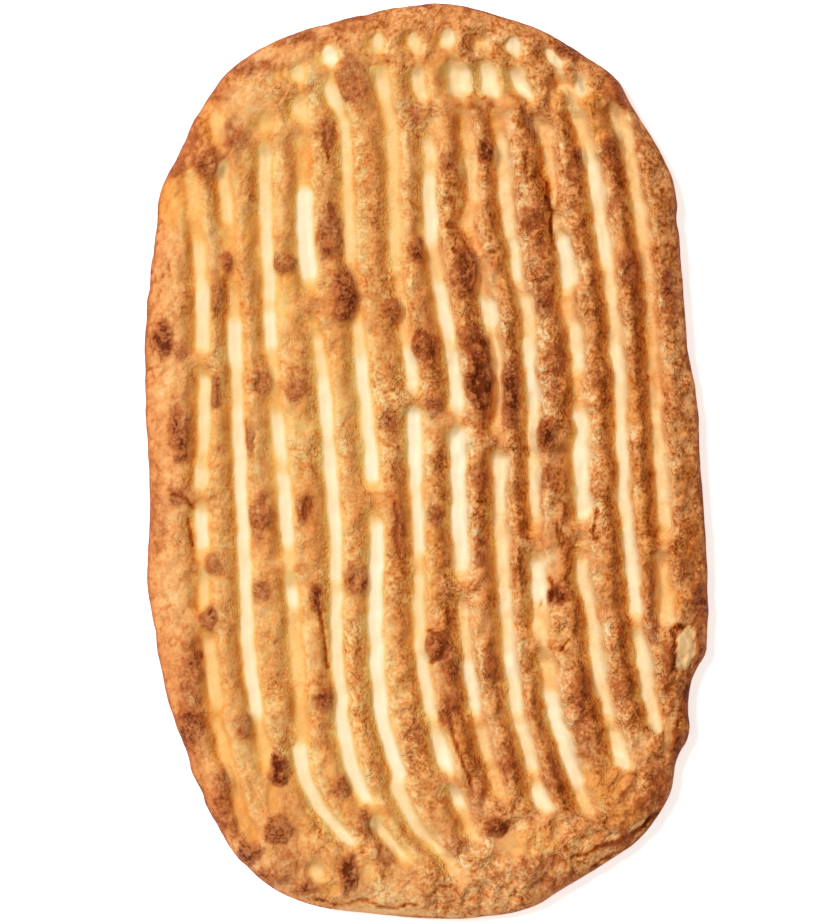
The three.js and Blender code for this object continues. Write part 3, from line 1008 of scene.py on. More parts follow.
@dataclass(frozen=True)
class Outline:
    """The loaf's outline seen from above in millimetres: a closed anticlockwise run of fine points."""

    points: Array

    @classmethod
    def of_solid(cls, solid: bpy.types.Object, unit: float, shoulder: float) -> "Outline":
        """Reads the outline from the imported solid's shoulder, where the loaf is widest.

        Args:
            solid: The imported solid's object.
            unit: Length of a millimetre of the loaf in metres.
            shoulder: Height of the shoulder.

        Returns:
            The solid's outline.
        """
        slack, decimals, steps = 0.02, 3, 6
        corners = np.empty(len(solid.data.vertices) * 3)
        solid.data.vertices.foreach_get("co", corners)
        corners = corners.reshape(-1, 3) / unit
        ring = corners[np.abs(corners[:, 2] - shoulder) < slack][:, :2]
        ring = np.unique(np.round(ring, decimals), axis=0)
        middle = (ring.max(axis=0) + ring.min(axis=0)) / 2.0
        ring = ring[np.argsort(np.arctan2(ring[:, 1] - middle[1], ring[:, 0] - middle[0]))]
        return cls(closed_curve(ring, steps))

    def dented(self, dents: Dents) -> "Outline":
        """The outline with small dents in it, nowhere outside this one."""
        return Outline(self.points + inward_steps(self.points) * dents.at(self.points)[:, None])

    def stretch(self, start: Point, stop: Point, shares: Array) -> Array:
        """Places along the outline between two of its corners, anticlockwise.

        Args:
            start: A point near the first corner.
            stop: A point near the second corner.
            shares: Shares of the way from the first to the second.

        Returns:
            The places, one a row.
        """
        first, last = (int(np.argmin(np.hypot(*(self.points - corner).T))) for corner in (start, stop))
        count = (last - first) % len(self.points)
        run = self.points[(first + np.arange(count + 1)) % len(self.points)]
        along = np.concatenate([[0.0], np.cumsum(np.hypot(*np.diff(run, axis=0).T))])
        wanted = shares * along[-1]
        return np.column_stack([np.interp(wanted, along, run[:, axis]) for axis in (0, 1)])

    def inset(self, places: Array) -> tuple[Array, Array]:
        """How far places lie in from the outline, and which way is straight out.

        Args:
            places: Places on the loaf, one a row.

        Returns:
            The distance from each place to the outline, and the unit step from it towards the outline.
        """
        tiny = 1e-6
        tree = KDTree(len(self.points))
        for number, (x, y) in enumerate(self.points):
            tree.insert((x, y, 0.0), number)
        tree.balance()
        nearest = np.array([tree.find((x, y, 0.0))[1] for x, y in places])
        least = np.full(len(places), np.inf)
        step = np.zeros(places.shape)
        for back in (1, 0):
            start = self.points[(nearest - back) % len(self.points)]
            run = self.points[(nearest - back + 1) % len(self.points)] - start
            share = np.clip(((places - start) * run).sum(axis=1) / (run**2).sum(axis=1), 0.0, 1.0)
            gap = start + share[:, None] * run - places
            length = np.hypot(gap[:, 0], gap[:, 1])
            nearer = length < least
            least[nearer], step[nearer] = length[nearer], gap[nearer]
        return least, step / np.maximum(least, tiny)[:, None]


@dataclass(frozen=True)
class CrustPlaces:
    """The top crust at each of many places: its height and the values that its finish reads."""

    height: Array
    layers: dict[Layer, Array]


@dataclass(frozen=True)
class Patches:
    """What breaks the crust up: noise of four sizes, brown blotches, gold, creases at the rim, roughness."""

    broad: Array
    middle: Array
    knob: Array
    sandy: Array
    blotch: Array
    gold: Array
    crumple: Array
    rough: Array


@dataclass(frozen=True)
class CrustSigns:
    """What shaped the crust at each place.

    Its fields are the depth share of the grooves, bare floor and how pale it is, the gaps to the grooves on
    the left and right, scorch, the brown halo of the scorches, cracks, and crumb where the crust flaked off.
    """

    press: Array
    bare: Array
    pale: Array
    left_gap: Array
    right_gap: Array
    scorch: Array
    halo: Array
    crack: Array
    torn: Array


@dataclass(frozen=True)
class CrustTone:
    """How far the crust is baked: ridges, their two flanks, pale floors, rim and torn crumb, with painted
    light on the flanks that face the light and painted shade on those that face away.
    """

    ridge: float = 0.58
    # Browner crust on the grooves' walls: painted shade in the grooves
    groove_wall_shade: float = 0.1
    rightward_browning_and_shade: float = 0.0008
    broad: float = 0.08
    middle: float = 0.09
    knob: float = 0.08
    sandy: float = 0.05
    # Paler band on each ridge's flank that faces the light, right of each groove: painted light
    peach_highlight: Band = Band(-0.18, 9.0)
    # Browner band on each ridge's right side, which faces away from the light: painted shade, broken up in
    # blotches and weaker on the left
    brown: Band = Band(0.15, 4.8, 6.4)
    brown_shade_least: float = 0.5
    brown_shade_left: float = 0.1
    # Width of the painted shade on each ridge's flank beside the groove on its right, which faces away from
    # the light
    flank_shade_band: float = 9.0
    amber_left: float = 0.45
    amber_edge: float = 0.8
    amber_inset: float = 34.0
    amber_gold: float = 0.9
    amber_floor: float = 0.6
    # Paler crust beside the left edge of each pale floor: partly the dough's own tone, partly painted light
    # lifting the shade on that flank; wider on the left half
    yellow_and_light: float = 0.3
    yellow_band: float = 5.4
    yellow_light_left: float = 1.0
    # Thin dark line along the left edge of each pale floor: a painted contact shadow, broken up in places
    line: Band = Band(0.14, 1.3, 1.9)
    shadow_line_lumps: float = 1.2
    shadow_line_broad: float = -0.6
    rim: float = 0.18
    rim_band: float = 12.0
    rim_ends: float = 0.15
    ends_from: float = 188.0
    ends_span: float = 26.0
    # Dark outline along the edge: a browner rim, and painted shade of the side that tucks under
    edge: Band = Band(0.24, 2.4)
    # Darker crust in the creases near the rim: painted shade
    crease: float = 0.16
    # Paler rim towards the right, where it faces away from the light: painted light
    right_rim_light: float = -0.17
    right_start: float = 40.0
    right_span: float = 90.0
    left_start: float = 55.0
    left_span: float = 45.0
    left_loss: float = 0.7
    left_calm: float = 0.5
    foot_pale: float = 0.09
    foot_from: float = -178.0
    foot_span: float = 24.0
    floor: float = 0.17
    floor_span: float = 0.38
    right_floor: float = 0.01
    crumb: float = 0.38
    gold: float = 0.08
    blotch: float = 0.14
    blotch_from: float = 0.5
    halo: float = 0.1
    crack: float = 0.75
    char_grain: float = 2.0
    bare_smooth: float = 0.92
    torn_smooth: float = 0.8

    def bake(self, at: Places, signs: CrustSigns, patches: Patches) -> Array:
        """How far the crust is baked at each place, with painted light and shade on the flanks, rim and
        creases.

        Args:
            at: The places.
            signs: What shaped the crust.
            patches: What breaks it up.

        Returns:
            The bake, from 0 for bare dough up.
        """
        right, less = self.right_share(at.x), 1.0 - self.left_loss * self.left_share(at.x)
        # Browner towards the right: partly the crust's own tone, partly painted shade for light that weakens
        # away from the key light on the left
        bake = self.ridge + self.rightward_browning_and_shade * at.x + self.broad * patches.broad - self.gold * patches.gold
        lumps = self.middle * patches.middle + self.knob * patches.knob
        bake = bake + (lumps + self.sandy * patches.sandy * patches.rough) * self.calm(at.x)
        # Painted shade: browner crust on the grooves' walls
        bake = bake + self.groove_wall_shade * signs.press
        # Painted light: paler crust on the lit flank right of each groove, less on the far left
        bake = bake + less * self.peach_highlight.over(signs.left_gap)
        bake = bake - self.foot_pale * ease((self.foot_from - at.y) / self.foot_span)
        # Painted shade: browner crust on each ridge's right side, weaker on the left half
        blotchy = at_least(self.brown_shade_left, right) * at_least(self.brown_shade_least, patches.blotch)
        bake = bake + self.brown.over(signs.right_gap) * blotchy
        bake = bake + self.halo * signs.halo + self.crack * signs.crack
        # Painted light, in part: paler crust beside each pale floor's left edge, on the flank that faces away
        # from the light
        yellow_band = self.yellow_band + self.yellow_light_left * (1.0 - right)
        bake = bake - self.yellow_and_light * less * near(signs.right_gap, yellow_band)
        # Painted contact shadow: thin dark line at the left edge of each pale floor, broken up in places
        broken = midway(self.shadow_line_lumps * patches.middle + self.shadow_line_broad * patches.broad)
        bake = bake + self.line.over(signs.right_gap) * broken
        # Painted light: the rim gets paler towards the right, where it faces away from the light
        rim = self.rim + self.right_rim_light * ease((at.x - self.right_start) / self.right_span)
        rim = rim * at_least(self.rim_ends, 1.0 - ease((np.abs(at.y) - self.ends_from) / self.ends_span))
        # Browner rim band, and a dark outline at the edge that is partly painted shade of the side that tucks
        # under
        bake = bake + rim * near(at.inset, self.rim_band) + self.edge.over(at.inset)
        # Painted shade: darker crust in the creases near the rim
        bake = bake + self.crease * patches.crumple
        floor = self.floor + self.floor_span * (1.0 - signs.pale) + self.right_floor * right
        bake = bake * (1.0 - signs.bare) + floor * signs.bare
        return bake * (1.0 - signs.torn) + self.crumb * signs.torn

    def right_share(self, x: Array) -> Array:
        """Shares of the right half, which is browner, partly from painted shade."""
        return ease((x + self.right_start) / self.right_span)

    def left_share(self, x: Array) -> Array:
        """Shares of the far left, where the ridges are evener."""
        return ease((-x - self.left_start) / self.left_span)

    def calm(self, x: Array) -> Array:
        """Shares of unevenness, less on the smoother left half."""
        return at_least(self.left_calm, self.right_share(x))

    def layers(self, at: Places, signs: CrustSigns, patches: Patches) -> dict[Layer, Array]:
        """The values that the crust's finish reads at each place.

        Args:
            at: The places.
            signs: What shaped the crust.
            patches: What breaks it up.

        Returns:
            The values by layer.
        """
        left, whole = 1.0 - self.right_share(at.x), 1.0 - signs.torn
        spots = self.blotch * ease((patches.blotch - self.blotch_from) / (1.0 - self.blotch_from))
        char = np.maximum(signs.scorch, spots * (1.0 - signs.press)) * whole
        # Golden tint: painted shade on each ridge's flank beside the groove on its right, with gold in golden
        # zones, on the far left and at pale floors
        amber = np.maximum(near(signs.right_gap, self.flank_shade_band), self.amber_gold * patches.gold)
        amber = np.maximum(amber, self.amber_left * ease(at.inset / self.amber_inset) * left)
        faint = self.amber_floor * (1.0 - signs.pale) * signs.bare
        amber = amber * (1.0 - signs.bare) * whole + faint
        amber = np.maximum(amber, self.amber_edge * left * between(signs.bare)) * (1.0 - char)
        grain = np.clip(np.maximum(patches.rough, self.char_grain * char), 0.0, 1.0)
        grain = grain * (1.0 - self.bare_smooth * signs.bare) * (1.0 - self.torn_smooth * signs.torn)
        bake = self.bake(at, signs, patches)
        return {Layer.BAKE: bake, Layer.CHAR: char, Layer.GRAIN: grain, Layer.AMBER: amber}


@dataclass
class GroovedTop:
    """The grooved, blistered and scorched top of the loaf, worked out place by place in millimetres."""

    tone: CrustTone = CrustTone()
    seed: int = 41
    turn_start: float = 0.6
    turn_step: float = 0.7

    # Heights
    ridge_top: float = 24.0
    groove_depth: float = 10.0
    left_depth: float = 0.56
    shoulder_height: float = 8.0
    shoulder_round: float = 17.0
    rim_drop: float = 3.0
    rim_band: float = 26.0
    swell: float = 1.5
    lump: float = 2.2
    broad_swell: float = 0.9
    swell_least: float = 0.35
    grit: float = 0.5
    foot_swell: Ripple = Ripple(2.4, 13.0, 45)
    foot_from: float = -185.0
    foot_span: float = 20.0

    # Grooves
    slant: Ripple = Ripple(1.6, 9.0, 0)
    own_salts: int = 11
    own_step: float = 3.0
    wander: Ripple = Ripple(0.8, 13.0, 0)
    bulge_left: Ripple = Ripple(0.34, 12.0, 1)
    bulge_right: Ripple = Ripple(0.34, 12.0, 3)
    flank_least: float = 0.82
    flank_half: float = 0.075
    easy_flank: float = 10.5
    steep_flank: float = 8.5
    floor_share: float = 0.24
    crown: float = 1.45
    far: float = 40.0
    groove_end: float = 14.0
    bridge_half: float = 10.0
    bridge_fill: float = 0.75
    touch_least: float = 0.75
    swollen_close: float = 0.7

    # Pale floors of the grooves
    pool_end: float = 10.0
    pool_right: float = 1.2
    line_share: float = 0.4
    pool_edge_left: float = 3.0
    pool_edge_right: float = 3.2
    pool_wider: float = 1.5
    right_wider: float = 0.2
    left_wider: float = 0.3
    neck_pale: float = 0.3
    neck_half: float = 0.9
    width_full: float = 0.6
    cover_full: float = 0.25
    gap_full: float = 0.45
    cover_least: float = 0.4
    core_band: float = 2.2
    edge_loss: float = 0.16
    floor_uneven: Ripple = Ripple(0.14, 9.0, 14, 0.6)
    fringe: tuple[Ripple, ...] = (Ripple(1.2, 13.0, 10), Ripple(0.9, 6.5, 8), Ripple(0.3, 3.0, 9))

    # Marks
    dimple_ragged: Ripple = Ripple(0.2, 5.0, 50)
    dimple_press: Fade = Fade(1.7, 1.2)
    dimple_bare: Fade = Fade(1.55, 1.1)
    scorch_ragged: tuple[Ripple, ...] = (Ripple(0.4, 8.0, 90), Ripple(0.2, 3.4, 91))
    scorch_dark: Fade = Fade(1.7, 1.4)
    scorch_halo: Fade = Fade(2.3, 1.8)
    scorch_rise: Fade = Fade(1.5, 1.2)
    scorch_swell: Fade = Fade(1.5, 0.8)
    scorch_bare: float = 0.85
    scorch_sandy: float = 0.3
    halo_gain: float = 1.4
    crack_bend: tuple[Ripple, ...] = (Ripple(0.9, 5.0, 70), Ripple(0.9, 5.0, 71))
    crack_cut: Fade = Fade(1.35, 1.0)
    flake_ragged: Ripple = Ripple(0.25, 3.5, 60)
    flake_torn: Fade = Fade(1.15, 0.35)
    glow_ragged: tuple[Ripple, ...] = (Ripple(0.8, 16.0, 30), Ripple(0.3, 6.0, 31))
    glow_gold: Fade = Fade(1.4, 1.0)
    blister_count: int = 520
    blister_size: Span = (1.8, 4.6)
    blister_rise: Span = (0.25, 0.85)
    blister_squeeze: Span = (0.6, 1.0)

    # Patches and creases
    broad: Ripple = Ripple(1.0, 46.0, 1)
    middle: Ripple = Ripple(1.0, 17.0, 2)
    knob: Ripple = Ripple(1.0, 11.0, 3)
    knob_top: float = 0.55
    knob_slope: float = 2.2
    knob_round: float = 0.004
    sandy: tuple[Ripple, ...] = (Ripple(1.0, 5.6, 6), Ripple(0.8, 3.9, 7))
    blotch: Ripple = Ripple(1.3, 12.0, 13, 0.6)
    rough_least: float = 0.38
    rough_middle: float = 0.58
    rough_right: float = 0.0045
    rough_uneven: Ripple = Ripple(1.2, 19.0, 12, 0.7)
    gold_smooth: float = 0.4
    seam: Ripple = Ripple(1.0, 7.5, 4, 0.7)
    seam_shift: float = 2.0
    seam_half: float = 0.13
    seam_patch: Ripple = Ripple(1.4, 24.0, 5)
    seam_dark: float = 0.25
    seam_depth: float = 0.7
    folds: tuple[Ripple, ...] = (Ripple(1.0, 8.0, 40), Ripple(0.6, 4.5, 41))
    fold_half: float = 0.42
    crumple_start: float = 4.0
    crumple_band: float = 26.0
    crumple_slope: float = 0.7
    crumple_from: float = 125.0
    crumple_span: float = 70.0
    crumple_least: float = 0.3
    crumple_depth: float = 1.6

    def noise(self, x: Array, y: Array, cell: float, salt: int) -> Array:
        """Smooth noise of this loaf's own, with lumps of one size, turned out of line with the mesh.

        Args:
            x: Places across the loaf.
            y: Places along the loaf.
            cell: Size of a lump.
            salt: Which of the loaf's patterns to use.

        Returns:
            Values from about -1 to 1.
        """
        turn = self.turn_start + self.turn_step * salt
        across = x * math.cos(turn) - y * math.sin(turn)
        along = x * math.sin(turn) + y * math.cos(turn)
        return lattice_noise(across, along, cell, self.seed + salt)

    def ripple(self, at: Places, *parts: Ripple) -> Array:
        """Sum of some sizes of the loaf's own noise at each place."""
        return sum(
            part.strength * self.noise(at.x, at.y * part.lengthwise, part.cell, part.salt) for part in parts
        )

    def drift(self, y: Array, index: int, part: Ripple) -> Array:
        """Noise along one groove, in a pattern that only that groove has."""
        own = np.full(y.shape, self.own_step * index)
        return part.strength * self.noise(y, own, part.cell, self.own_salts * index + part.salt)

    def along(self, groove: Groove, y: Array) -> Array:
        """How hard a groove was pressed along its length.

        Args:
            groove: The groove.
            y: Places along the loaf.

        Returns:
            Shares of the full depth, fading at both ends and at the bridges.
        """
        press = ease((y - groove.foot) / self.groove_end) * ease((groove.head - y) / self.groove_end)
        for bridge in groove.bridges:
            press = press * (1.0 - self.bridge_fill * near(np.abs(y - bridge), self.bridge_half))
        return press

    def pools(self, groove: Groove, y: Array) -> tuple[Array, Array, Array, Array]:
        """A groove's pale stretches along its length.

        Args:
            groove: The groove.
            y: Places along the loaf.

        Returns:
            Shares of a fingertip's press, and the floor's pallor, half width and way off the line.
        """
        shares, pale, half, off = (np.zeros(y.shape) for _ in range(4))
        for pool in groove.pools:
            share = midway((y - pool.low) / self.pool_end) * midway((pool.high - y) / self.pool_end)
            shares += share
            pale += pool.pale * share
            half += pool.half * share
            off += pool.off * share
        touch = np.minimum(shares, 1.0)
        most = np.maximum(shares, 1.0)
        pale = pale / most + self.neck_pale * (1.0 - touch)
        half = half / most + self.neck_half * (1.0 - touch)
        return touch, pale, half, off

    def grooves(self, at: Places, swollen: Array) -> tuple[Array, Array, Array, Array, Array]:
        """The grooves' shape and tone at each place.

        Args:
            at: The places.
            swollen: Shares of bubbles that close the grooves beside them.

        Returns:
            Shares of the full depth, of bare floor, how pale that floor is, and the gaps to the grooves on
            either side.
        """
        press, bare, pale = (np.zeros(at.x.shape) for _ in range(3))
        left_gap, right_gap = (np.full(at.x.shape, self.far) for _ in range(2))
        slanted = at.y + self.ripple(at, self.slant)
        fringe = self.ripple(at, *self.fringe) * self.tone.calm(at.x)
        wider = self.pool_wider + self.right_wider * self.tone.right_share(at.x)
        wider = wider + self.left_wider * self.tone.left_share(at.x)
        uneven = self.ripple(at, self.floor_uneven)
        for index, groove in enumerate(GROOVES):
            touch, tone, half, off = self.pools(groove, slanted)
            line = station_curve(groove.across, at.y) - self.line_share * self.pool_right + off
            offset = at.x - (line + self.drift(at.y, index, self.wander))
            wide = self.flank_least + self.flank_half * half
            left = wide + self.drift(at.y, index, self.bulge_left)
            right = wide + self.drift(at.y, index, self.bulge_right)
            flank = np.where(offset < 0.0, self.easy_flank * left, self.steep_flank * right)
            along = self.along(groove, slanted) * at_least(self.touch_least, touch)
            along = along * (1.0 - self.swollen_close * swollen)
            climb = np.clip((np.abs(offset) / flank - self.floor_share) / (1.0 - self.floor_share), 0.0, 1.0)
            np.maximum(press, (1.0 - np.sin(climb * math.pi / 2.0) ** self.crown) * along, out=press)
            beside = offset - self.pool_right
            gap = np.abs(beside) - (half + wider) * np.sqrt(ease(along / self.width_full)) - fringe
            soft = np.where(beside < 0.0, self.pool_edge_left, self.pool_edge_right)
            cover = midway(-gap / soft) * ease(along / self.cover_full) * at_least(self.cover_least, tone)
            nearer = cover > bare
            shown = tone - self.edge_loss * ease(1.0 + gap / self.core_band) - uneven
            bare[nearer], pale[nearer] = cover[nearer], shown[nearer]
            gap = np.maximum(gap, 0.0) + self.far * (1.0 - ease(along / self.gap_full))
            np.minimum(left_gap, np.where(beside < 0.0, self.far, gap), out=left_gap)
            np.minimum(right_gap, np.where(beside < 0.0, gap, self.far), out=right_gap)
        return press, bare, pale, left_gap, right_gap

    def dimples(self, at: Places) -> tuple[Array, Array, Array]:
        """The finger presses beside the grooves.

        Args:
            at: The places.

        Returns:
            How deep they are, shares of bare floor and how pale that floor is.
        """
        depth, bare, pale = (np.zeros(at.x.shape) for _ in range(3))
        ragged = self.ripple(at, self.dimple_ragged)
        for dimple in DIMPLES:
            reach = dimple.reach(at) + ragged
            np.maximum(depth, dimple.depth * self.dimple_press.share(reach), out=depth)
            cover = self.dimple_bare.share(reach) * at_least(self.cover_least, dimple.pale)
            nearer = cover > bare
            shown = dimple.pale - self.edge_loss * ease(reach)
            bare[nearer], pale[nearer] = cover[nearer], shown[nearer]
        return depth, bare, pale

    def scorches(self, at: Places) -> tuple[Array, Array, Array, Array]:
        """The scorched spots at each place.

        Args:
            at: The places.

        Returns:
            How dark the spots are, the brown halo round them, how far they stand up, and how far they bulge
            into the grooves beside them.
        """
        dark, halo, rise, swollen = (np.zeros(at.x.shape) for _ in range(4))
        ragged = self.ripple(at, *self.scorch_ragged)
        for spot in SCORCHES:
            reach = spot.reach(at)
            frayed = reach - ragged
            np.maximum(dark, spot.dark * self.scorch_dark.share(frayed), out=dark)
            np.maximum(halo, min(1.0, self.halo_gain * spot.dark) * self.scorch_halo.share(frayed), out=halo)
            np.maximum(rise, spot.rise * self.scorch_rise.share(reach), out=rise)
            np.maximum(swollen, min(1.0, spot.rise) * self.scorch_swell.share(reach), out=swollen)
        return dark, halo, rise, swollen

    def cracks(self, at: Places) -> tuple[Array, Array]:
        """The cracks at each place.

        Args:
            at: The places.

        Returns:
            How dark the cracks are, and how deep.
        """
        dark, depth = np.zeros(at.x.shape), np.zeros(at.x.shape)
        x, y = (place + self.ripple(at, bend) for place, bend in zip((at.x, at.y), self.crack_bend))
        for crack in CRACKS:
            cut = self.crack_cut.share(path_distance(x, y, np.array(crack.points)) / crack.half)
            np.maximum(dark, crack.dark * cut, out=dark)
            np.maximum(depth, crack.depth * cut, out=depth)
        return dark, depth

    def blisters(self, at: Places) -> Array:
        """How far the small baked bubbles that are scattered over the loaf stand up at each place.

        Args:
            at: The places.

        Returns:
            The rise of the bubbles.
        """
        draw = np.random.default_rng(self.seed)
        rise = np.zeros(at.x.shape)
        spans = ((at.x.min(), at.x.max()), (at.y.min(), at.y.max()))
        spans += (self.blister_size, self.blister_rise, self.blister_squeeze)
        for _ in range(self.blister_count):
            x, y, size, height, squeeze = (draw.uniform(*span) for span in spans)
            reach = np.hypot(at.x - x, (at.y - y) * squeeze) / size
            np.maximum(rise, height * ease(1.0 - reach), out=rise)
        return rise

    def flakes(self, at: Places) -> Array:
        """How much pale crumb shows at each place where the crust flaked off."""
        ragged = self.ripple(at, self.flake_ragged)
        return strongest(flake.pale * self.flake_torn.share(flake.reach(at) - ragged) for flake in FLAKES)

    def glows(self, at: Places) -> Array:
        """How golden the crust is at each place."""
        ragged = self.ripple(at, *self.glow_ragged)
        return strongest(glow.gold * self.glow_gold.share(glow.reach(at) - ragged) for glow in GLOWS)

    def crumples(self, at: Places) -> Array:
        """How deep the crust is creased near the rim, most of all at the head's left and the foot's right.

        Args:
            at: The places.

        Returns:
            Shares of the deepest crease.
        """
        close = near(at.inset - self.crumple_start, self.crumple_band)
        slant = np.abs(at.x - self.crumple_slope * at.y)
        corners = ease((slant - self.crumple_from) / self.crumple_span)
        folds = sum(np.abs(self.ripple(at, fold)) for fold in self.folds)
        return close * at_least(self.crumple_least, corners) * near(folds, self.fold_half)

    def patches(self, at: Places) -> Patches:
        """What breaks up the crust.

        Args:
            at: The places.

        Returns:
            Noise by size, and where the crust is blotched, golden, creased and rough.
        """
        gold = self.glows(at)
        knots = self.ripple(at, self.knob)
        uneven = self.tone.calm(at.x) * self.ripple(at, self.rough_uneven)
        rough = at_least(self.rough_least, ease(self.rough_middle + self.rough_right * at.x + uneven))
        return Patches(
            broad=self.ripple(at, self.broad),
            middle=self.ripple(at, self.middle),
            knob=self.knob_top - self.knob_slope * np.sqrt(knots**2 + self.knob_round),
            sandy=self.ripple(at, *self.sandy),
            blotch=midway(self.ripple(at, self.blotch)),
            gold=gold,
            crumple=self.crumples(at),
            rough=rough * (1.0 - self.gold_smooth * gold),
        )

    def survey(self, at: Places) -> CrustPlaces:
        """Works out the crust at each place.

        Args:
            at: The places.

        Returns:
            The crust's height and the values that its finish reads.
        """
        dark, halo, rise, swollen = self.scorches(at)
        press, bare, pale, left_gap, right_gap = self.grooves(at, swollen)
        dimple_depth, dimple_bare, dimple_pale = self.dimples(at)
        pale = np.where(dimple_bare > bare, dimple_pale, pale)
        bare = np.maximum(bare, dimple_bare)
        crack_dark, crack_depth = self.cracks(at)
        ridge = 1.0 - ease(press)
        patches = self.patches(at)
        shifted = Places(at.x + self.seam_shift * patches.knob, at.y, at.inset)
        seam = near(np.abs(self.ripple(shifted, self.seam)), self.seam_half)
        seam = seam * midway(self.ripple(at, self.seam_patch)) * ridge
        scorch = dark * (1.0 - self.scorch_bare * bare) * (1.0 + self.scorch_sandy * patches.sandy)
        crack = np.maximum(crack_dark, self.seam_dark * seam)
        signs = CrustSigns(press, bare, pale, left_gap, right_gap, scorch, halo, crack, self.flakes(at))
        layers = self.tone.layers(at, signs, patches)

        swell = (self.swell * patches.middle + self.lump * patches.knob) * self.tone.calm(at.x)
        swell = swell + self.broad_swell * patches.broad
        top = self.ridge_top + swell * at_least(self.swell_least, ridge) + rise
        top = top + (self.blisters(at) + self.grit * patches.sandy) * layers[Layer.GRAIN]
        depth = self.groove_depth * at_least(self.left_depth, self.tone.right_share(at.x))
        top = top - depth * press - dimple_depth
        top = top - self.seam_depth * seam - crack_depth - self.crumple_depth * patches.crumple
        top = top + ease((self.foot_from - at.y) / self.foot_span) * self.ripple(at, self.foot_swell)
        top = top - self.rim_drop * near(at.inset, self.rim_band)
        round_off = 1.0 - np.clip(at.inset / self.shoulder_round, 0.0, 1.0)
        height = self.shoulder_height + (top - self.shoulder_height) * np.sqrt(1.0 - round_off**2)
        return CrustPlaces(height, layers)


@dataclass(frozen=True)
class BakeChart:
    """Where one side of the loaf lies on the square that its finish is baked to.

    Its fields are the square's share of a millimetre, where the loaf's middle lies, and whether left and
    right are swapped because the side is seen from below.
    """

    scale: float
    middle: Point
    swapped: bool

    def lay(self, places: Array) -> Array:
        """Moves places in millimetres to the square."""
        turn = np.array([-1.0 if self.swapped else 1.0, 1.0])
        return places * turn * self.scale + np.array(self.middle)


@dataclass
class Skin:
    """Points and faces of one closed mesh, gathered sheet by sheet."""

    points: list[Array] = field(default_factory=list)
    values: dict[Layer, list[Array]] = field(default_factory=lambda: {layer: [] for layer in Layer})
    faces: list[Array] = field(default_factory=list)
    slots: list[Array] = field(default_factory=list)
    charts: list[Array] = field(default_factory=list)
    count: int = 0

    def add_points(self, points: Array, values: dict[Layer, Array]) -> Array:
        """Adds points with the values that the finish reads.

        Args:
            points: The points in millimetres, one a row.
            values: The points' values by layer.

        Returns:
            The points' numbers.
        """
        numbers = self.count + np.arange(len(points))
        self.points.append(points)
        for layer, held in self.values.items():
            held.append(values[layer])
        self.count += len(points)
        return numbers

    def add_faces(self, faces: Array, slot: Slot, chart: Array) -> None:
        """Adds faces.

        Args:
            faces: The points' numbers of each face, one face a row.
            slot: The slot that the faces take their finish from.
            chart: Where each corner of each face lies on the bake square.
        """
        self.faces.append(faces)
        self.slots.append(np.full(len(faces), int(slot), dtype=np.int32))
        self.charts.append(chart.reshape(-1, 2))

    def mesh(self, name: str, unit: float) -> bpy.types.Mesh:
        """Makes the mesh.

        Args:
            name: The mesh's name.
            unit: Length of a millimetre of the loaf in metres.

        Returns:
            The smooth-shaded mesh with its values, slots and bake map.
        """
        made = bpy.data.meshes.new(name)
        points = np.concatenate(self.points) * unit
        made.from_pydata(points.tolist(), [], [face for part in self.faces for face in part.tolist()])
        slots = np.concatenate(self.slots)
        made.polygons.foreach_set("material_index", slots)
        made.polygons.foreach_set("use_smooth", np.ones(len(slots), dtype=bool))
        for layer, held in self.values.items():
            target = made.attributes.new(layer.value, "FLOAT", "POINT")
            target.data.foreach_set("value", np.concatenate(held).astype(np.float32))
        bake_map = made.uv_layers.new(name=BAKE_MAP)
        bake_map.data.foreach_set("uv", np.concatenate(self.charts).astype(np.float32).ravel())
        made.update()
        return made


def ring_mean(values: Array, reach: int) -> Array:
    """Means of a closed ring's values over the neighbours within reach."""
    steps = range(-reach, reach + 1)
    return sum(np.roll(values, step) for step in steps) / len(steps)


@dataclass(frozen=True)
class Rim:
    """One ring of points round the loaf: their numbers, their places from above and the steps inward."""

    numbers: Array
    places: Array
    inward: Array


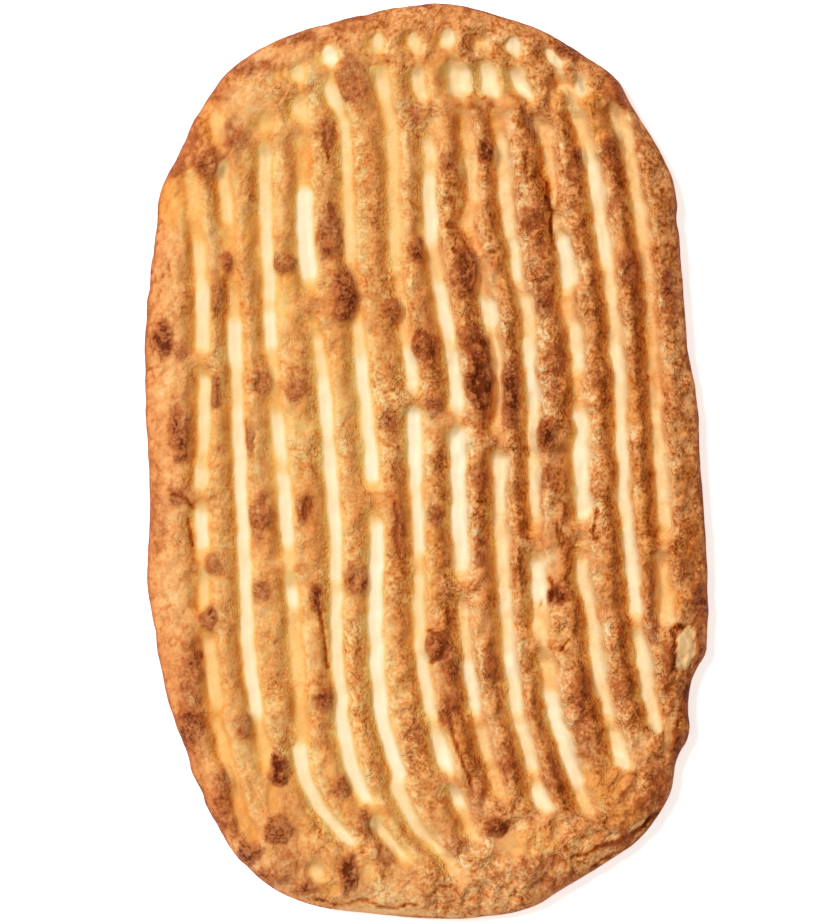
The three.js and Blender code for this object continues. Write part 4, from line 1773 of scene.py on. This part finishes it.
@dataclass
class Loaf:
    """The loaf as one closed skin: grooved crust, tucked side and flat underside.

    Args:
        solid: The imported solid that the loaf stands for.
        unit: Length of a millimetre of the loaf in metres.
    """

    solid: bpy.types.Object
    unit: float
    name: str = "baked_loaf"
    top: GroovedTop = field(default_factory=GroovedTop)
    columns: int = 272
    rows: int = 304
    wall_rings: int = 5
    base_every: int = 4
    foot_inset: float = 5.0
    wall_bake: float = 0.62
    wall_mottle: Ripple = Ripple(0.16, 9.0, 30)
    wall_rise: float = 3.0
    wall_wobble: float = 0.5
    wobble_cell: float = 11.0
    wall_blur: int = 4
    base_inset: float = 12.0
    base_lift: float = 0.35
    base_uneven: tuple[Ripple, ...] = (Ripple(1.0, 20.0, 8), Ripple(0.4, 9.0, 9))
    dents: Dents = Dents()
    spread_steps: int = 200
    edge_cell: float = 0.4
    edge_ease: float = 0.7
    head_right: Point = (101.0, 199.0)
    foot_right: Point = (113.5, -195.5)
    foot_left: Point = (-99.5, -207.5)
    head_left: Point = (-106.0, 201.5)
    top_chart: BakeChart = BakeChart(0.00198, (0.317, 0.5), False)
    base_chart: BakeChart = BakeChart(0.00112, (0.815, 0.5), True)

    def shares(self, count: int) -> Array:
        """Where the lines between a number of cells lie, from 0 to 1.

        Args:
            count: How many cells there are.

        Returns:
            The lines' shares, closer at both ends, where the edge rounds over.
        """
        index = np.arange(count + 1)
        from_end = np.minimum(index, count - index)
        pull = (1.0 - self.edge_cell) * np.exp(-(from_end - 1.0) * self.edge_ease) * (from_end > 0)
        return (index - np.where(index < count / 2, pull, -pull)) / count

    def top_sheet(self, outline: Outline) -> Array:
        """Lays out the top crust's grid between four stretches of the outline.

        Args:
            outline: The loaf's outline.

        Returns:
            The places by row, column and coordinate.
        """
        across, along = self.shares(self.columns), self.shares(self.rows)
        sides = {
            Side.FOOT: outline.stretch(self.foot_left, self.foot_right, across),
            Side.RIGHT: outline.stretch(self.foot_right, self.head_right, along),
            Side.HEAD: outline.stretch(self.head_right, self.head_left, 1.0 - across),
            Side.LEFT: outline.stretch(self.head_left, self.foot_left, 1.0 - along),
        }
        return stretched_sheet(sides, across, along)

    def edge_spread(self, inset: Array) -> Array:
        """How much further out the rounded edge reaches when it is laid flat.

        Args:
            inset: How far places lie in from the outline.

        Returns:
            The extra length in millimetres.
        """
        reach = self.top.shoulder_round
        rise = self.top.ridge_top - self.top.rim_drop - self.top.shoulder_height
        flat = np.linspace(0.0, reach, self.spread_steps)
        height = rise * np.sqrt(1.0 - (1.0 - flat / reach) ** 2)
        length = np.concatenate([[0.0], np.cumsum(np.hypot(np.diff(flat), np.diff(height)))])
        return np.interp(inset, flat, length[-1] - length - (reach - flat))

    def add_top(self, skin: Skin, outline: Outline) -> Rim:
        """Adds the grooved crust.

        Args:
            skin: The skin that is being gathered.
            outline: The loaf's outline.

        Returns:
            The crust's rim.
        """
        sheet = self.top_sheet(outline)
        flat = sheet.reshape(-1, 2)
        inset, outward = outline.inset(flat)
        order = border_of(np.arange(len(flat)).reshape(sheet.shape[:2]))
        ring = flat[order]
        inward = inward_steps(ring)
        inset[order] = 0.0
        outward[order] = -inward
        crust = self.top.survey(Places(*flat.T, inset))
        numbers = skin.add_points(np.column_stack([flat, crust.height]), crust.layers)
        faces = sheet_faces(numbers.reshape(sheet.shape[:2]), upward=True)
        laid = self.top_chart.lay(flat + outward * self.edge_spread(inset)[:, None])
        skin.add_faces(faces, Slot.CRUST, laid[faces])
        return Rim(numbers[order], ring, inward)

    def add_wall(self, skin: Skin, rim: Rim) -> Rim:
        """Adds the side that tucks in under the rim.

        Args:
            skin: The skin that is being gathered.
            rim: The crust's rim.

        Returns:
            The ring at the loaf's foot.
        """
        height, tuck = self.top.shoulder_height, self.foot_inset
        rim_values = {layer: np.concatenate(held)[rim.numbers] for layer, held in skin.values.items()}
        above, laid_above = rim, np.hypot(height, tuck)
        for ring in range(1, self.wall_rings + 1):
            share = ring / self.wall_rings
            turn = (1.0 - share) * math.pi / 2.0
            wobble = Ripple(self.wall_wobble, self.wobble_cell, ring).over(*rim.places.T)
            wobble = wobble * math.sin(2.0 * turn)
            places = rim.places + rim.inward * (tuck * (1.0 - math.sin(turn)) + wobble)[:, None]
            level = np.full(len(places), height * (1.0 - math.cos(turn)))
            mottle = self.wall_mottle.over(rim.places[:, 0], rim.places[:, 1] + level * self.wall_rise)
            soft = {layer: ring_mean(values, self.wall_blur * ring) for layer, values in rim_values.items()}
            held = {layer: values * (1.0 - share) for layer, values in soft.items()}
            held[Layer.BAKE] = held[Layer.BAKE] + share * (self.wall_bake + mottle)
            held[Layer.GRAIN] = soft[Layer.GRAIN]
            numbers = skin.add_points(np.column_stack([places, level]), held)
            below = Rim(numbers, places, rim.inward)
            laid_below = np.hypot(height, tuck) * (1.0 - share)
            pairs = [(above, laid_above), (below, laid_below)]
            chart = [self.base_chart.lay(rim.places + rim.inward * (tuck - laid)) for _, laid in pairs]
            faces = [above.numbers, below.numbers, np.roll(below.numbers, -1), np.roll(above.numbers, -1)]
            corners = [chart[0], chart[1], np.roll(chart[1], -1, axis=0), np.roll(chart[0], -1, axis=0)]
            skin.add_faces(np.column_stack(faces), Slot.CRUST, np.stack(corners, axis=1))
            above, laid_above = below, laid_below
        return above

    def add_base(self, skin: Skin, foot: Rim) -> None:
        """Adds the flat underside, in a coarser grid joined to the foot's ring.

        Args:
            skin: The skin that is being gathered.
            foot: The ring at the loaf's foot.
        """
        every, columns, rows = self.base_every, self.columns, self.rows
        edge = foot.places + foot.inward * (self.base_inset - self.foot_inset)
        starts = np.cumsum([0, columns, rows, columns])
        lengths = (columns, rows, columns, rows)
        around = len(edge)
        ends = zip(starts, lengths)
        runs = [edge[np.arange(start, start + length + 1, every) % around] for start, length in ends]
        sides = {Side.FOOT: runs[0], Side.RIGHT: runs[1], Side.HEAD: runs[2][::-1], Side.LEFT: runs[3][::-1]}
        sheet = stretched_sheet(sides, self.shares(columns)[::every], self.shares(rows)[::every])
        flat = sheet.reshape(-1, 2)
        uneven = 1.0 + sum(part.over(*flat.T) for part in self.base_uneven)
        level = np.maximum(self.base_lift * uneven, 0.0)
        plain = {layer: np.zeros(len(flat)) for layer in Layer}
        numbers = skin.add_points(np.column_stack([flat, level]), plain)
        grid = numbers.reshape(sheet.shape[:2])
        inner = border_of(grid)
        seam = []
        for index, (here, ahead) in enumerate(zip(inner, np.roll(inner, -1))):
            outer = foot.numbers[(index * every + np.arange(every + 1)) % around]
            half = every // 2
            seam += [(outer[step + 1], outer[step], here) for step in range(half)]
            seam.append((outer[half], here, ahead))
            seam += [(outer[step + 1], outer[step], ahead) for step in range(half, every)]
        laid = self.base_chart.lay(np.concatenate([foot.places, flat]))
        first = foot.numbers[0]
        for faces in (sheet_faces(grid, upward=False), np.array(seam)):
            skin.add_faces(faces, Slot.UNDERSIDE, laid[faces - first])

    def build(self) -> bpy.types.Object:
        """Builds the loaf.

        Returns:
            The loaf's object, linked to the scene.
        """
        outline = Outline.of_solid(self.solid, self.unit, self.top.shoulder_height)
        outline = outline.dented(self.dents)
        skin = Skin()
        rim = self.add_top(skin, outline)
        foot = self.add_wall(skin, rim)
        self.add_base(skin, foot)
        loaf = bpy.data.objects.new(self.name, skin.mesh(self.name, self.unit))
        bpy.context.scene.collection.objects.link(loaf)
        return loaf

    def dress(self, loaf: bpy.types.Object, finishes: dict[Slot, bpy.types.Material]) -> None:
        """Puts the finishes on the loaf's mesh, in the order of its slots."""
        for slot in Slot:
            loaf.data.materials.append(finishes[slot])


@dataclass
class Studio:
    """Pale floor, soft light from the left, and the camera straight above the loaf.

    Args:
        unit: Length of a millimetre of the loaf in metres.
    """

    unit: float
    floor: PaleFloor = PaleFloor()
    floor_size: float = 8.0
    sky: float = 0.4
    sky_colour: tuple[float, float, float] = (1.0, 0.95, 0.86)
    key_strength: float = 2.55
    key_angle: float = 18.0
    key_from: tuple[float, float, float] = (-0.68, 0.39, 1.12)
    lens: float = 180.0
    sensor: float = 36.0
    image_height: int = 923
    image_middle: Point = (419.5, 461.5)
    loaf_middle: Point = (426.5, 461.0)
    loaf_pixels: float = 916.0
    plane: float = 8.0

    def build_floor(self) -> None:
        """Builds the floor that the loaf lies on."""
        half = self.floor_size / 2.0
        corners = [(-half, -half, 0.0), (half, -half, 0.0), (half, half, 0.0), (-half, half, 0.0)]
        mesh = bpy.data.meshes.new("floor")
        mesh.from_pydata(corners, [], [range(len(corners))])
        floor = bpy.data.objects.new("floor", mesh)
        floor.data.materials.append(self.floor.material())
        bpy.context.scene.collection.objects.link(floor)

    def build_light(self) -> None:
        """Builds the even light from all round and the large soft light from the left."""
        world = bpy.data.worlds.new("studio")
        world.use_nodes = True
        sky = world.node_tree.nodes["Background"]
        sky.inputs["Color"].default_value = (*self.sky_colour, 1.0)
        sky.inputs["Strength"].default_value = self.sky
        bpy.context.scene.world = world
        lamp = bpy.data.lights.new("key", "SUN")
        lamp.energy = self.key_strength
        lamp.angle = math.radians(self.key_angle)
        key = bpy.data.objects.new("key", lamp)
        key.rotation_euler = Vector(self.key_from).to_track_quat("Z", "Y").to_euler()
        bpy.context.scene.collection.objects.link(key)

    def build_camera(self) -> None:
        """Builds the camera that looks straight down, with the loaf where the picture has it."""
        step = NOMINAL_LENGTH / self.loaf_pixels * self.unit
        distance = self.image_height * step * self.lens / self.sensor
        data = bpy.data.cameras.new("camera")
        data.lens = self.lens
        data.sensor_width = self.sensor
        camera = bpy.data.objects.new("camera", data)
        side = (self.image_middle[0] - self.loaf_middle[0]) * step
        up = (self.loaf_middle[1] - self.image_middle[1]) * step
        camera.location = (side, up, distance + self.plane * self.unit)
        bpy.context.scene.collection.objects.link(camera)
        bpy.context.scene.camera = camera
        bpy.context.scene.view_settings.view_transform = "Standard"

    def build(self) -> None:
        """Builds the whole studio."""
        self.build_floor()
        self.build_light()
        self.build_camera()


def main() -> None:
    """Builds the loaf and its studio and reports each piece."""
    logging.basicConfig(level=logging.INFO, format="%(name)s: %(message)s")
    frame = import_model()
    low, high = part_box(NODE)
    unit = (high.y - low.y) / NOMINAL_LENGTH

    groups = BreadEffects().build()
    finishes = {Slot.CRUST: BakedCrust().material(groups), Slot.UNDERSIDE: DustedBase().material(groups)}
    loaf_maker = Loaf(frame["nodes"][NODE], unit)
    loaf = loaf_maker.build()
    loaf_maker.dress(loaf, finishes)
    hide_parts(NODE)
    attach(loaf, "root")
    LOG.info("%s: %d faces, %d points", loaf.name, len(loaf.data.polygons), len(loaf.data.vertices))

    Studio(unit).build()
    LOG.info("studio: floor, light and camera")


if __name__ == "__main__":
    main()
